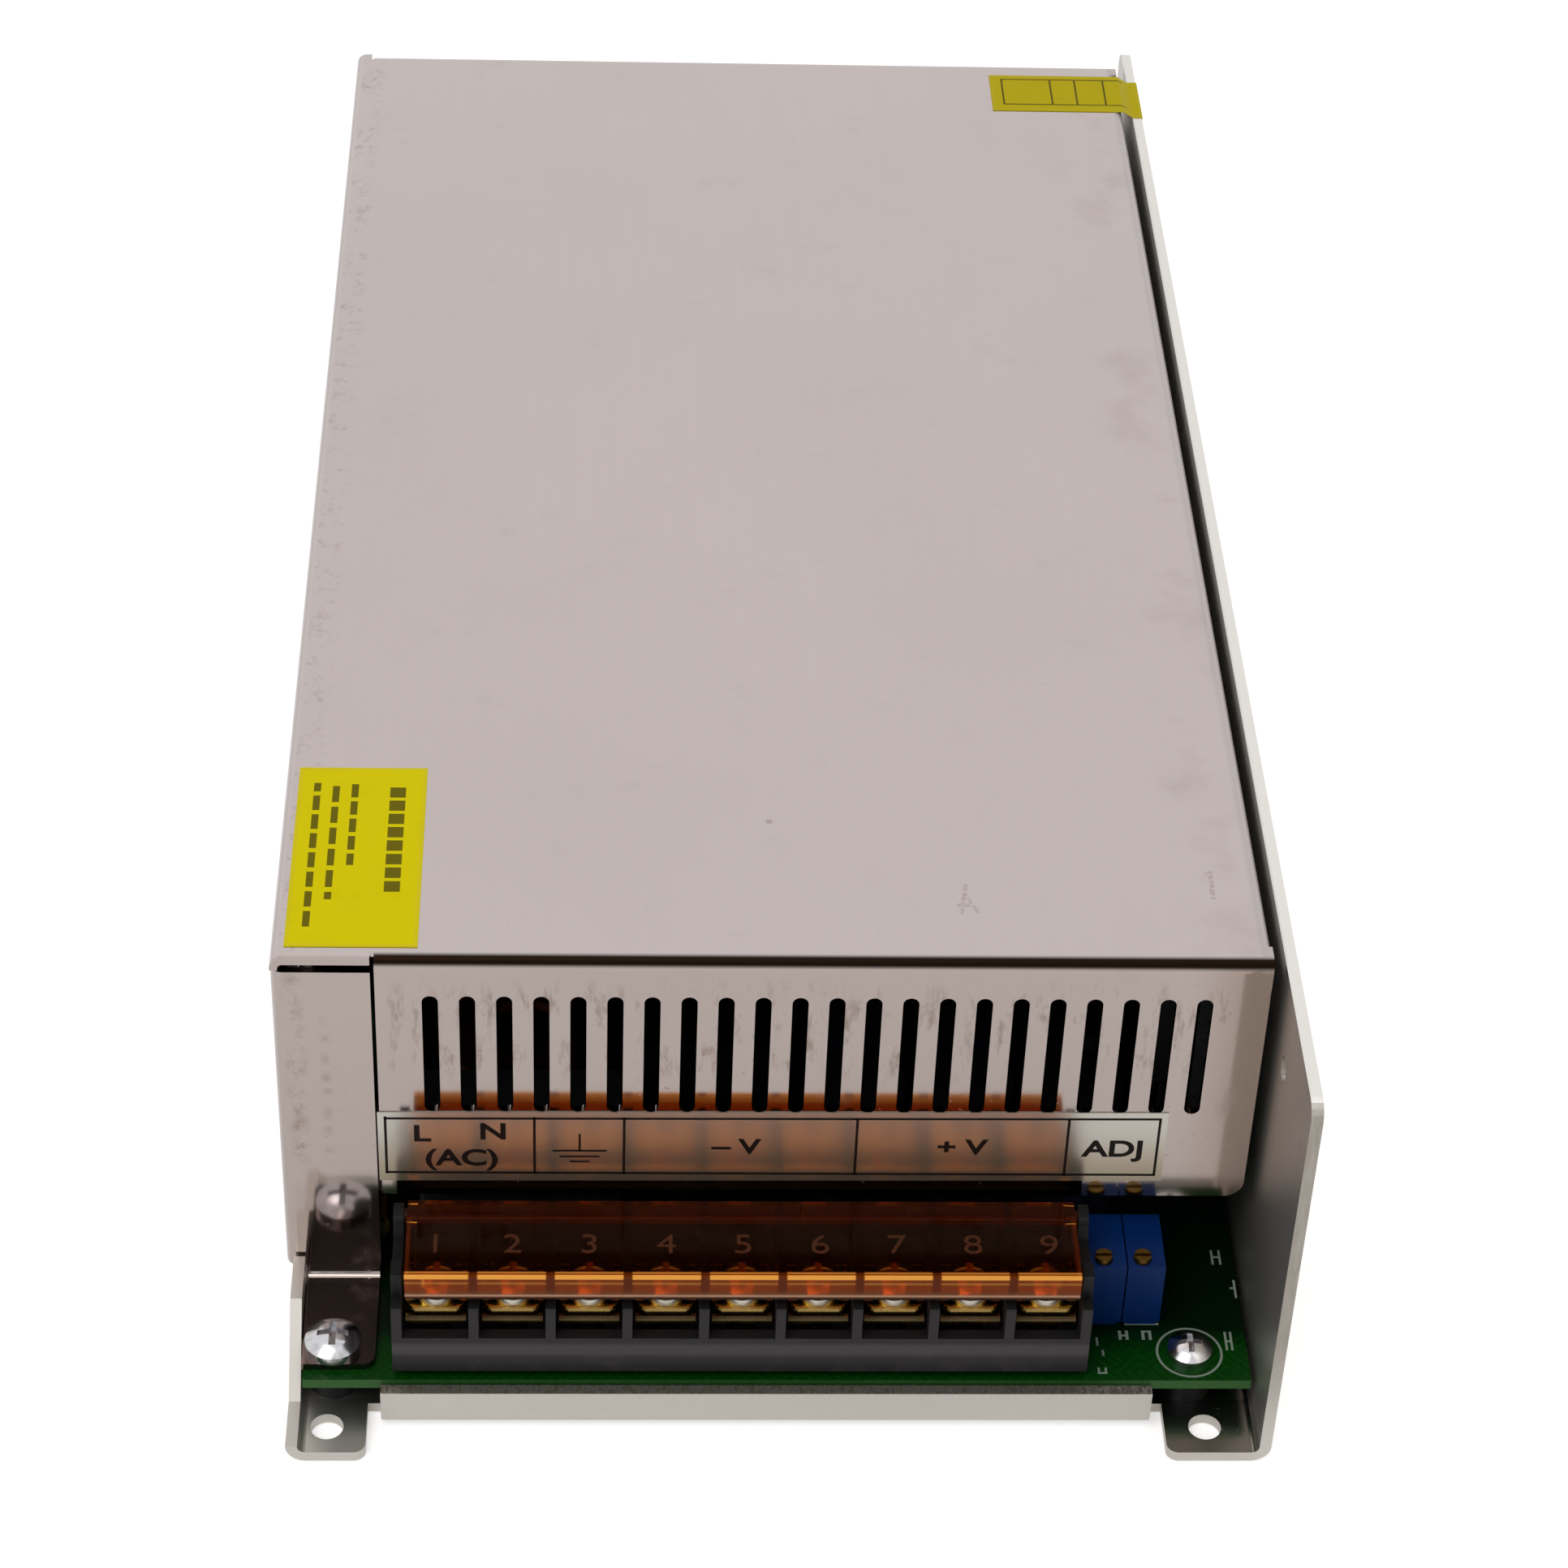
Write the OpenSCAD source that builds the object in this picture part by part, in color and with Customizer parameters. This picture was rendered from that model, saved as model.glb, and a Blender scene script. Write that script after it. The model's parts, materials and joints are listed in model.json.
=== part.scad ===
// Enclosed switching power supply with a slotted sheet metal case.
// +X is to the right of the terminals, +Y runs from the terminals to the fan, +Z is up.
// The origin is at the bottom centre of the whole supply.

/* [Case] */
// Length over the mounting feet
body_l = 250; // [240:5:300]
// Width over the chassis
body_w = 125; // [120:1:150]
// Height to the top of the cover
body_h = 63; // [63:1:80]
// Chassis sheet thickness
base_t = 1.5; // [1.2:0.1:1.8]
// Inner radius of the chassis bends
base_bend = 1; // [0.6:0.1:1.4]
// Cover sheet thickness
cover_t = 1; // [0.8:0.1:1.2]
// Inner radius of the cover bends
cover_bend = 0.6; // [0.3:0.1:1]
// Step from the cover's top down to the top edge of the right wall
wall_drop = 1; // [0:0.5:3]
// Slit between the cover and the right wall
wall_slit = 1.6; // [1:0.1:2.5]
// Height of the folded left wall of the chassis
left_wall_h = 36; // [32:1:38]
// Corner radius of the right wall
wall_corner = 2.4; // [1:0.2:4]

/* [Mounting feet] */
// Distance that the feet stand out past the folded lips
foot_l = 5.45; // [5.2:0.1:6]
// Width of the feet on the left
left_foot_w = 10; // [9:0.5:12]
// Width of the feet on the right
right_foot_w = 13.2; // [12:0.5:15]
// Diameter of the mounting holes
foot_hole = 4.2; // [3.5:0.1:4.4]
// Mounting hole centre from the left side of the chassis
left_hole_x = 5; // [4.6:0.1:6]
// Mounting hole centre from the right side of the chassis
right_hole_x = 8; // [7.5:0.1:9]
// Mounting hole centre from the end of the foot
foot_hole_y = 4.3; // [3.4:0.1:4.6]
// Height of the folded lips at the front and rear
lip_h = 6.4; // [6:0.2:7]
// Width of the relief notch at each end of a lip
notch_w = 1.8; // [1:0.2:3]
// Diameter of the side mounting holes in the right wall
side_hole = 3.5; // [3:0.1:4.5]
// Side mounting hole centre from the end of the wall
side_hole_y = 18.7; // [12:0.1:20]
// Side mounting hole centre above the base
side_hole_z = 50.8; // [44:0.2:56]

/* [Cover] */
// Distance from the front of the feet to the front panel
bay_l = 24.6; // [24.4:0.1:26]
// Height of the front panel's lower edge
panel_z = 22.9; // [22:0.1:25]
// Corner radius of the front panel
panel_corner = 2.5; // [1:0.5:4]
// Height of the left side's lower edge
skirt_z = 9.8; // [9.6:0.1:12]
// Width of the flange that returns across the front left
flange_w = 11.2; // [10:0.1:11.6]
// Seam between the flange and the front panel
seam_w = 0.5; // [0.3:0.1:1]
// Width of the foot tab under the flange
tab_w = 9.3; // [8.6:0.1:9.5]
// Distance that the foot tab reaches forward of the flange
tab_l = 15.7; // [15.5:0.1:17]
// Depth of the folded edge beside the right wall
edge_h = 9; // [5:1:12]

/* [Vents] */
// Slot width
slot_w = 2; // [1.4:0.1:2.6]
// Slot length
slot_l = 19.5; // [14:0.5:22]
// Distance between neighbouring slots
slot_pitch = 4.55; // [4:0.05:6]
// Cover's top to the upper ends of the front slots
slot_drop = 6; // [5:0.5:8]
// Front panel's left edge to the first slot
slot_margin = 6.7; // [5:0.1:9]
// Slots in each group on the left side
side_slots = 9; // [4:1:14]
// Width of the rings cut for the fan
ring_slot = 3; // [2:0.2:3.6]
// Width of the bars between the rings
ring_bar = 1.7; // [1.4:0.1:2.4]
// Radius of the solid disc in the middle of the rings
ring_hub = 6.5; // [5:0.5:9]

/* [Circuit board] */
// Height of the posts under the circuit board
post_h = 4; // [3.8:0.1:4.2]
// Circuit board thickness
board_t = 1.6; // [1.4:0.1:1.8]
// Circuit board to the chassis walls
board_gap = 0.4; // [0.3:0.1:0.8]
// Diameter of the board screws' heads
board_head = 5.8; // [5.4:0.1:6.2]
// Diameter of the tab screw's head
tab_head = 7.2; // [6.6:0.1:7.4]

/* [Terminals] */
// Left side of the chassis to the left end of the terminal block
block_x = 13.35; // [13.3:0.05:13.6]
// Front edge of the circuit board to the front of the terminal block
block_inset = 0.35; // [0.2:0.05:0.6]
// Thickness of the barriers between terminals
barrier_t = 1.25; // [1:0.05:1.4]
// Thickness of the block's end walls
end_wall_t = 1.3; // [1.2:0.05:1.5]
// Clear space on each side of a clamping washer
washer_side = 0.4; // [0.35:0.05:0.6]
// Thickness of the clamping washers
washer_t = 0.9; // [0.7:0.1:1.1]
// Gap under the clamping washers, as the screws are left
washer_gap = 0.6; // [0.4:0.1:0.8]
// Side of a clamping washer less the diameter of its screw's head
head_less = 0.6; // [0.4:0.1:1]
// Diameter of the terminal screws' shanks
screw_shank = 3.9; // [3.4:0.1:4]
// Thickness of the flip cover
flip_t = 1; // [0.8:0.1:1.1]
// Height of the flip cover's front lip
flip_lip = 4; // [3:0.1:4]

/* [Trimmers] */
// Width of a trimmer
trimmer_w = 4.8; // [4.4:0.1:4.9]
// Length of a trimmer
trimmer_l = 9.5; // [9:0.1:10]
// Height of a trimmer's body
trimmer_h = 10.1; // [9.5:0.1:11]

/* [Fan] */
// Depth of the fan frame
fan_l = 20; // [18:1:25]
// Fan centre from the left side of the chassis
fan_x = 68; // [62:1:80]
// Number of fan blades
blades = 7; // [5:1:9]

/* [Heat sink] */
// Thickness of the bar on the right wall
sink_t = 6; // [4:0.5:8]
// Height of the bar
sink_h = 36; // [30:1:40]
// Length of the bar
sink_l = 140; // [130:5:150]

/* [Hidden] */
$fn = 48;
over = 1;             // how far a cutting tool runs past the face it cuts

// Case
base_out = base_bend + base_t;
cover_out = cover_bend + cover_t;
wall_in = body_w - base_t;
wall_h = body_h - wall_drop;
wall_gap = 0.2;       // chassis walls to a folded cover edge
fold_relief = 0.3;    // slit that lets two folds close on each other
cover_right = wall_in - wall_slit;
cover_rear = body_l - foot_l - base_t - 0.05;
cover_under = body_h - cover_t;
flange_top = cover_under - cover_bend - 2 * fold_relief;
panel_left = flange_w + seam_w;
tab_left = base_t + wall_gap;
rear_left = base_t + wall_gap;
notch_y = foot_l + base_out + fold_relief;
foot_corner = 1.5;
tab_corner = 1.6;
ear_rise = 2;         // height of the chassis's left ear above the cover's lower edge
ear_inset = 2.1;      // front lip to the foot of the ear's slope
left_rear_inset = 3;  // cover's rear face to the rear end of the left wall

// Screws of the case
m3 = 3;
m3_hole = 3.2;
m3_head = 5.6;
m3_head_h = 2.2;
m4 = 4;
m4_head_h = 2.6;
thread_slack = 0.1;   // screw shank under its threaded hole
cover_screw_inset = 23;
cover_screw_drop = 8;
cover_screw_l = 5;
sink_screw_l = 7;

// Fan
fan_gap = 0.25;       // fan frame to the base and to the cover's top
fan_w = body_h - base_t - cover_t - 2 * fan_gap;
fan_rest = 0.3;       // fan frame to the cover's rear face
fan_y = cover_rear - cover_t - fan_rest - fan_l;
fan_z = base_t + fan_gap + fan_w / 2;
fan_wall_t = 1.3;
fan_bore = fan_w - 2 * fan_wall_t;
fan_hole_inset = 5;
fan_holes = fan_w - 2 * fan_hole_inset;
fan_corner = 3;
fan_flange_t = 4;
fan_strut_t = 3;
fan_strut_w = 3.4;
fan_hub = 25;
fan_tip_gap = 0.9;
fan_end_gap = 0.8;    // rotor to the frame's front face and to its struts
fan_axle = 3;
blade_t = 1.4;
blade_turn = 48;      // degrees from the fan's plane
fan_head = 7;
fan_head_h = 2.4;
fan_screw_l = 12;
grille_hole = 4.5;
grille_spoke_w = 3;
ring_step = ring_slot + ring_bar;
lead_d = 2.4;
lead_bend = 5;
lead_side = 3;        // fan frame's side to the lead
lead_rise = 19;       // board to the lead's straight run
plug_w = 8;
plug_l = 5;
plug_h = 6;
plug_inset = 7;       // board's rear edge to the plug

// Circuit board
film_t = 0.25;
film_edge = 1;
film_gap = 0.3;
board_z = base_t + post_h;
board_top = board_z + board_t;
board_left = base_t + board_gap;
board_edge = 0.3;     // more room at the board's front edge and right side
board_right = wall_in - board_gap - board_edge;
board_front = foot_l + base_t + board_edge;
board_end = 2.7;      // board to the fan
board_rear = fan_y - board_end;
post_d = 6.4;
clinch_d = 4.8;
tab_screw_x = 5.6;
tab_screw_y = 12.2;
board_screw_inset = 9.7;
board_screw_y = 12;
rear_screw_y = 8;
left_screw_x = 6.6;
right_screw_inset = 3.6;
right_screw_x = wall_in - sink_t - right_screw_inset;

// Trimmers
trimmer_gap = 0.2;    // between the trimmers
trimmer_inset = 13.15;
trimmer_setback = 7.65;
trimmer_y = bay_l - trimmer_setback;
trimmer_foot = 0.4;   // body above the board, on its feet
trimmer_z = board_top + trimmer_foot;
trimmer_nib = 1;
trimmer_screw_d = 2.2;
trimmer_screw_y = 1.5;
trimmer_screw_side = 0.5;
trimmer_screw_h = 0.8;
trimmer_screw_sink = 2.3;
trimmer_kerf = 0.5;

// Terminals
poles = 9;
block_gap = 0.5;      // terminal block to the trimmers
block_y = board_front + block_inset;
block_w = body_w - trimmer_inset - 2 * trimmer_w - trimmer_gap - block_gap - block_x;
pole_pitch = (block_w + barrier_t - 2 * end_wall_t) / poles;
block_l = 14.2;
block_h = 7.2;        // board to the top of the wall in front of the terminals
block_front_t = 1.6;
block_rear_t = 3.4;
block_rise = 1.2;     // board to the front wall's lower edge
block_rear = block_y + block_l;
trench_l = 4.9;
trench_rise = 3.9;
trench_z = board_top + trench_rise;
barrier_h = 12.6;     // board to the front step of a barrier
barrier_step = 2.2;   // depth of that step
plate_t = 0.9;
plate_rise = 0.3;     // contacts above the wall in front of them
plate_z = board_top + block_h + plate_rise;
plate_inset = 2.3;
plate_front = block_y + plate_inset;
plate_end = 0.1;
plate_rear = block_rear - block_rear_t - plate_end;
pole_inset = 6.4;
pole_y = block_y + pole_inset;
collar_d = 5.4;
collar_h = 2;
collar_gap = 0.15;
running_gap = 0.08;   // radial clearance of a turning fit
washer_w = pole_pitch - barrier_t - 2 * washer_side;
washer_rear = 0.6;    // washer to the block's rear wall
washer_l = 2 * (block_rear - block_rear_t - washer_rear - pole_y);
washer_corner = 1.2;
washer_z = plate_z + plate_t + washer_gap;
screw_head = min(washer_w, washer_l) - head_less;
screw_head_z = washer_z + washer_t;
screw_head_h = 2.6;
screw_tip_rise = 1.9;
screw_tip_z = board_top + screw_tip_rise;
screw_bore_gap = 0.5;
screw_bore_end = 0.4; // bore past the tip of a fully driven screw

// Flip cover
flip_rise = 17.9;     // board to the top of the flip cover
flip_top = board_top + flip_rise;
flip_under = flip_top - flip_t;
flip_inset = 0.4;
flip_front = block_y + flip_inset;
flip_end = 0.5;
flip_rear = block_rear - flip_end;
flip_gap = 0.5;       // flip cover to the end walls, each side
flip_rest = 0.3;      // flip cover to the tops of the barriers
flip_rib = 1.2;
flip_rib_h = 2.2;
pivot_wall = 1.6;     // radius of the end wall round the pivot
pivot_y = block_rear - pivot_wall;
pivot_drop = 1.6;
pivot_z = flip_top - pivot_drop;
pivot_d = 1.8;
pivot_eye = 3;
pivot_swing = 2.3;    // clear radius that the flip cover's rear edge needs
latch_l = 2.6;
latch_inset = 1.9;
latch_y = block_y + latch_inset;
latch_h = 2;

// Printed strip over the terminals, yellow label and seal strip
legend_t = 0.15;
legend_h = 12;
legend_tilt = 0.2;    // degrees
legend_rise = 2.5;
legend_inset = 10.5;
label_t = 0.12;
label_w = 16.3;
label_l = 34.3;
label_x = 0.7;
label_inset = 2.2;
seal_t = 0.12;
seal_w = 24;
seal_l = 11;
seal_drop = 8;
seal_inset = 15;

// Heat sink
sink_inset = 21.4;    // front face to the bar
sink_y = bay_l + sink_inset;
sink_rise = 6;        // board to the bar
sink_z = board_top + sink_rise;
sink_screw_end = 15;  // end of the bar to its first screw
sink_screw_rise = 29;
sink_screw_z = sink_z + sink_screw_rise;
devices = 6;
device_w = 15.8;
device_t = 5;
device_h = 20.5;
device_end = 15;      // end of the bar to the first device's middle
device_pitch = (sink_l - 2 * device_end) / (devices - 1);
device_rise = 9;
device_z = board_top + device_rise;
device_screw_rise = 14;
device_screw_z = device_z + device_screw_rise;
device_screw_l = 8.5;
device_lead_w = 1.2;
device_lead_t = 0.6;
device_lead_pitch = 5.45;
device_face = wall_in - sink_t - device_t;
mid_screw_y = sink_y + device_end + 1.5 * device_pitch;
board_screws_at = [[body_w - board_screw_inset, board_screw_y], [left_screw_x, mid_screw_y],
                   [right_screw_x, mid_screw_y], [left_screw_x, board_rear - rear_screw_y],
                   [right_screw_x, board_rear - rear_screw_y]];

// Line side: fuse, thermistor, capacitors, chokes and bulk capacitors from front to rear
part_gap = 2;
line_inset = 4.4;     // front face to the first parts
line_y = bay_l + line_inset;
line_x = 29;
fuse_d = 5.2;
fuse_l = 20;
fuse_x = 9;
fuse_z = 5;           // board to the fuse's axis
clip_l = 4;
clip_t = 0.5;
ntc_d = 13;
ntc_t = 5;
ntc_x = 8;
ntc_z = 11;
ntc_y = line_y + fuse_l + 3 * part_gap;
line_cap_w = 26;
line_cap_l = 12;
line_cap_h = 22;
line_cap_corner = 0.8;
choke_d = 26;
choke_h = 16;
choke_1_y = line_y + line_cap_l + part_gap + choke_d / 2;
line_cap_2_y = choke_1_y + choke_d / 2 + part_gap;
choke_2_y = line_cap_2_y + line_cap_l + part_gap + choke_d / 2;
bulk_d = 30;
bulk_h = 45;
bulk_inset = 7;
bulk_x = bulk_inset + bulk_d / 2;
bulk_1_y = choke_2_y + choke_d / 2 + bulk_d / 2 + 2 * part_gap;
bulk_2_y = bulk_1_y + bulk_d + 1.5 * part_gap;

// Middle and output side
mid_x = line_x + line_cap_w / 2 + 2 * part_gap;
out_cap_d = 12.5;
out_cap_h = 25;
out_cap_pitch = 14;
out_cap_room = 12;    // power devices to the first capacitor's middle
out_cap_x = device_face - out_cap_room;
out_cap_inset = 11.4;
out_cap_y = bay_l + out_cap_inset;
chip_l = 19.6;
chip_w = 6.2;
chip_h = 3.4;
chip_rise = 0.6;
chip_pin = 0.6;
chip_pin_pitch = 2.54;
chip_y = out_cap_y + out_cap_pitch + out_cap_d / 2 + part_gap;
inductor_d = 38;
inductor_h = 17.6;
inductor_room = 7;
inductor_x = device_face - inductor_room - inductor_d / 2;
inductor_y = chip_y + chip_w + 2 * part_gap + inductor_d / 2;
bridge_w = 22;
bridge_t = 3.6;
bridge_h = 18.5;
bridge_rise = 4;
bridge_lead = 1.2;
bridge_y = inductor_y + inductor_d / 2 + part_gap;
driver_w = 20;
driver_l = 12;
driver_h = 17;
driver_y = bridge_y + bridge_t + part_gap;
core_w = 55;
core_h = 45;
core_l = 21;
core_z = 2;           // board to the underside of the core
core_leg = 17;        // width of the core's middle leg
core_yoke = 9;
coil_gap = 0.3;
coil_flange_t = 1.5;
coil_corner = 4;
coil_rail = 4;
coil_w = core_w - 2 * core_yoke - 2 * coil_gap;
coil_l = core_l + coil_w - core_leg;
coil_h = core_h - 2 * core_yoke - 2 * coil_gap;
core_x = (bulk_x + bulk_d / 2 + device_face) / 2;
core_y = driver_y + driver_l + coil_l / 2 + 2 * part_gap;

// Selector
selector_inset = 37.4;
selector_y = bay_l + selector_inset;
selector_z = 27;
selector_w = 23;
selector_h = 13;
selector_d = 10;
selector_wall = 3;
window_w = 15;
window_h = 7;
window_edge = 1;      // cover's window beyond the chassis's window
window_y = selector_y + (selector_w - window_w) / 2;
slider_w = 8.5;
slider_gap = 0.3;
slider_l = 7;
slider_knob_w = 2.5;
slider_knob_h = 0.6;
slider_x = 1;

// The chassis's front left bottom corner, from the origin
module from_corner() {
    translate([(cover_t - body_w - seal_t) / 2, -body_l / 2, 0]) children();
}

// Both ends of the chassis: the children and their mirror image in Y
module both_ends() {
    children();
    translate([0, body_l, 0]) mirror([0, 1, 0]) children();
}

// A 2D outline drawn in X and Z, given depth along +Y
module along_y(length) {
    translate([0, length, 0]) rotate([90, 0, 0]) linear_extrude(length) children();
}

// A 2D outline drawn in Y and Z, given depth along +X
module along_x(length) {
    rotate([90, 0, 90]) linear_extrude(length) children();
}

// A bent sheet's section: legs a and b from an outer corner at the origin
module fold(a, b, t, r) {
    translate([r + t, 0]) square([a - r - t, t]);
    translate([0, r + t]) square([t, b - r - t]);
    difference() {
        intersection() {
            translate([r + t, r + t]) circle(r + t);
            square(r + t);
        }
        translate([r + t, r + t]) circle(r);
    }
}

// A rectangle with round corners, from its lower left corner
module round_rect(w, h, r) {
    translate([r, 0]) square([w - 2 * r, h]);
    translate([0, r]) square([w, h - 2 * r]);
    for (x = [r, w - r], y = [r, h - r]) {
        translate([x, y]) circle(r);
    }
}

// What is cut away to round a convex corner at the origin, whose sheet lies in +x and +y
module corner_cut(r) {
    difference() {
        translate([-over, -over]) square(r + over);
        translate([r, r]) circle(r);
    }
}

// A slot with round ends, upright, centred on the origin
module slot(w, length) {
    square([w, length - w], center = true);
    for (s = [-1, 1]) {
        translate([0, s * (length - w) / 2]) circle(w / 2);
    }
}

// A pan head screw: head above z = 0 and shank below it
module pan_screw(head_d, head_h, shank_d, length) {
    dome = head_h * 0.55;
    dome_r = (head_d * head_d / 4 + dome * dome) / (2 * dome);
    difference() {
        rotate_extrude() {
            intersection() {
                square([head_d / 2, head_h]);
                translate([0, head_h - dome_r]) circle(dome_r);
            }
            translate([0, -length]) square([shank_d / 2, length + head_h / 4]);
        }
        cross_recess(head_d * 0.55, head_h * 0.5, head_h);
    }
}

// A countersunk screw: flat top at z = 0, head and shank below it
module flat_screw(head_d, shank_d, length) {
    sink = (head_d - shank_d) / 2;
    difference() {
        rotate_extrude() polygon([[0, 0], [head_d / 2, 0], [shank_d / 2, -sink],
                                  [shank_d / 2, -length], [0, -length]]);
        cross_recess(head_d * 0.55, sink * 0.8, 0);
    }
}

// What a countersunk screw needs removed, with its clearance
module flat_screw_hole(head_d, shank_d, length) {
    gap = 0.1;
    sink = (head_d - shank_d) / 2;
    rotate_extrude() polygon([[0, over], [head_d / 2 + gap, over], [head_d / 2 + gap, 0],
                              [shank_d / 2 + gap, -sink], [shank_d / 2 + gap, -length],
                              [0, -length]]);
}

// A cross recess cut down from the top of a head
module cross_recess(span, depth, top) {
    for (a = [0, 90]) {
        rotate(a) translate([-span / 2, -span / 9, top - depth]) cube([span, span / 4.5, depth + over]);
    }
}

// ---- Case ----

// Outline of the chassis's left wall in Y and Z: a low ear in front of the cover's
// flange, a slot that the flange drops into, and a cut-back rear end
module left_wall_outline() {
    low = base_out + over / 10;
    ear_top = skirt_z + ear_rise;
    ear_y = foot_l + ear_inset;
    ear_rear = bay_l - 2 * wall_gap;
    slot_floor = board_z + board_t / 2;
    slot_rear = bay_l + cover_out + wall_gap;
    rear_y = cover_rear - left_rear_inset;
    polygon([[-over, 0], [-over, low], [ear_y, low],
             [ear_y + ear_top - low, ear_top], [ear_rear, ear_top], [ear_rear, slot_floor],
             [slot_rear, slot_floor], [slot_rear, left_wall_h], [rear_y, left_wall_h],
             [rear_y, skirt_z], [rear_y + skirt_z - low, low], [body_l + over, low],
             [body_l + over, 0]]);
}

// A lip folded up from the base between two feet
module lip() {
    lip_x = left_foot_w + notch_w;
    lip_w = body_w - right_foot_w - notch_w - lip_x;
    translate([lip_x, foot_l, 0]) along_x(lip_w) fold(notch_y - foot_l + over, lip_h, base_t, base_bend);
}

module chassis() {
    color("lightgray") from_corner() difference() {
        union() {
            difference() {
                along_y(body_l) {
                    fold(body_w / 2 + over, left_wall_h, base_t, base_bend);
                    translate([body_w, 0]) mirror([1, 0])
                        fold(body_w / 2 + over, wall_h, base_t, base_bend);
                }
                difference() {
                    translate([-over, -over, base_out + over / 10])
                        cube([over + base_out, body_l + 2 * over, left_wall_h]);
                    translate([-2 * over, 0, 0]) along_x(body_w / 2) left_wall_outline();
                }
                both_ends() feet_cuts();
            }
            both_ends() lip();
        }
        chassis_holes();
    }
}

// The gap between the two feet, their rounded corners and the right wall's corner
module feet_cuts() {
    translate([left_foot_w, -over, -over])
        cube([body_w - left_foot_w - right_foot_w, notch_y + over, base_t + 2 * over]);
    translate([left_foot_w, 0, -over]) linear_extrude(base_t + 2 * over)
        mirror([1, 0]) corner_cut(foot_corner);
    translate([body_w - right_foot_w, 0, -over]) linear_extrude(base_t + 2 * over) corner_cut(foot_corner);
    translate([wall_in - over, 0, wall_h]) along_x(base_t + 2 * over)
        mirror([0, 1]) corner_cut(wall_corner);
}

module chassis_holes() {
    both_ends() {
        for (x = [left_hole_x, body_w - right_hole_x]) {
            translate([x, foot_hole_y, -over]) cylinder(d = foot_hole, h = base_t + 2 * over);
        }
        translate([wall_in - over, side_hole_y, side_hole_z]) rotate([0, 90, 0])
            cylinder(d = side_hole, h = base_t + 2 * over);
    }
    for (p = concat(board_screws_at, [[tab_screw_x, tab_screw_y]])) {
        translate([p[0], p[1], -over]) cylinder(d = clinch_d, h = base_t + 2 * over);
    }
    at_cover_screws() flat_screw_hole(m3_head, m3, cover_screw_l + over);
    at_sink_screws() flat_screw_hole(m3_head, m3, sink_screw_l);
    translate([-over, window_y, selector_z - window_h / 2])
        cube([base_t + 2 * over, window_w, window_h]);
    for (x = [fan_x - fan_holes / 2, fan_x + fan_holes / 2]) {
        translate([x, cover_rear - over, 0]) along_y(foot_l) lip_notch();
    }
}

// Clearance in the rear lip for a fan screw's head
module lip_notch() {
    notch_d = fan_head + 4 * fold_relief;
    difference() {
        translate([0, fan_z - fan_holes / 2]) circle(d = notch_d);
        translate([-notch_d, base_out - notch_d]) square([2 * notch_d, notch_d]);
    }
}

// The three screws that hold the cover to the chassis's left wall
module at_cover_screws() {
    for (y = [bay_l + cover_screw_inset, body_l / 2, cover_rear - cover_screw_inset]) {
        translate([-cover_t, y, left_wall_h - cover_screw_drop]) rotate([0, -90, 0]) children();
    }
}

// The three screws through the right wall into the heat sink bar
module at_sink_screws() {
    for (i = [-1:1]) {
        translate([body_w, sink_y + sink_l / 2 + i * (sink_l / 2 - sink_screw_end), sink_screw_z])
            rotate([0, 90, 0]) children();
    }
}

// Cover: folded from one sheet, open on the right and below
module cover() {
    color([0.78, 0.74, 0.75]) from_corner() difference() {
        union() {
            translate([0, bay_l + cover_out, 0]) along_y(cover_rear - bay_l - 2 * cover_out) {
                cover_left_fold(body_w / 2 + over, body_h - skirt_z);
                cover_right_fold(body_w / 2);
            }
            translate([0, bay_l, 0]) along_y(cover_out + over)
                cover_left_fold(flange_w + cover_t, body_h - flange_top - fold_relief);
            translate([0, cover_rear - cover_out - over, 0]) along_y(cover_out + over)
                cover_left_fold(rear_left - fold_relief + cover_t, body_h - skirt_z);
            front_panel();
            front_flange();
            foot_tab();
            rear_panel();
        }
        panel_slots();
        side_slots();
        fan_grille();
        at_cover_screws() flat_screw_hole(m3_head, m3, cover_screw_l + over);
        translate([tab_screw_x, tab_screw_y, board_z])
            cylinder(d = m4 + 4 * thread_slack, h = board_t + cover_t + over);
        translate([-cover_t - over, window_y - window_edge, selector_z - window_h / 2 - window_edge])
            cube([cover_t + 2 * over, window_w + 2 * window_edge, window_h + 2 * window_edge]);
    }
}

// Section through the top sheet's left part, with its left leg
module cover_left_fold(width, leg) {
    translate([-cover_t, body_h]) mirror([0, 1]) fold(width, leg, cover_t, cover_bend);
}

module cover_right_fold(width) {
    translate([cover_right, body_h]) rotate(180) fold(width, edge_h, cover_t, cover_bend);
}

module front_panel() {
    width = cover_right - panel_left;
    difference() {
        translate([panel_left, bay_l, body_h]) along_x(width)
            mirror([0, 1]) fold(2 * cover_out, body_h - panel_z, cover_t, cover_bend);
        translate([cover_right, bay_l + 2 * cover_t, panel_z]) rotate([90, 0, 0])
            linear_extrude(3 * cover_t) mirror([1, 0]) corner_cut(panel_corner);
    }
}

// The flange that returns across the front left
module front_flange() {
    translate([-cover_t, bay_l, skirt_z]) linear_extrude(flange_top - skirt_z)
        fold(flange_w + cover_t, 2 * cover_out, cover_t, cover_bend);
}

// The tab folded forward from the flange's lower edge, onto the circuit board
module foot_tab() {
    tab_back = bay_l + cover_t;
    difference() {
        translate([tab_left, tab_back, board_top]) along_x(tab_w)
            mirror([1, 0]) fold(tab_l + cover_t, skirt_z + cover_t - board_top, cover_t, cover_bend);
        translate([tab_left + tab_w, tab_back - tab_l - cover_t, board_top - over])
            linear_extrude(cover_t + 2 * over) mirror([1, 0]) corner_cut(tab_corner);
    }
}

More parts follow.
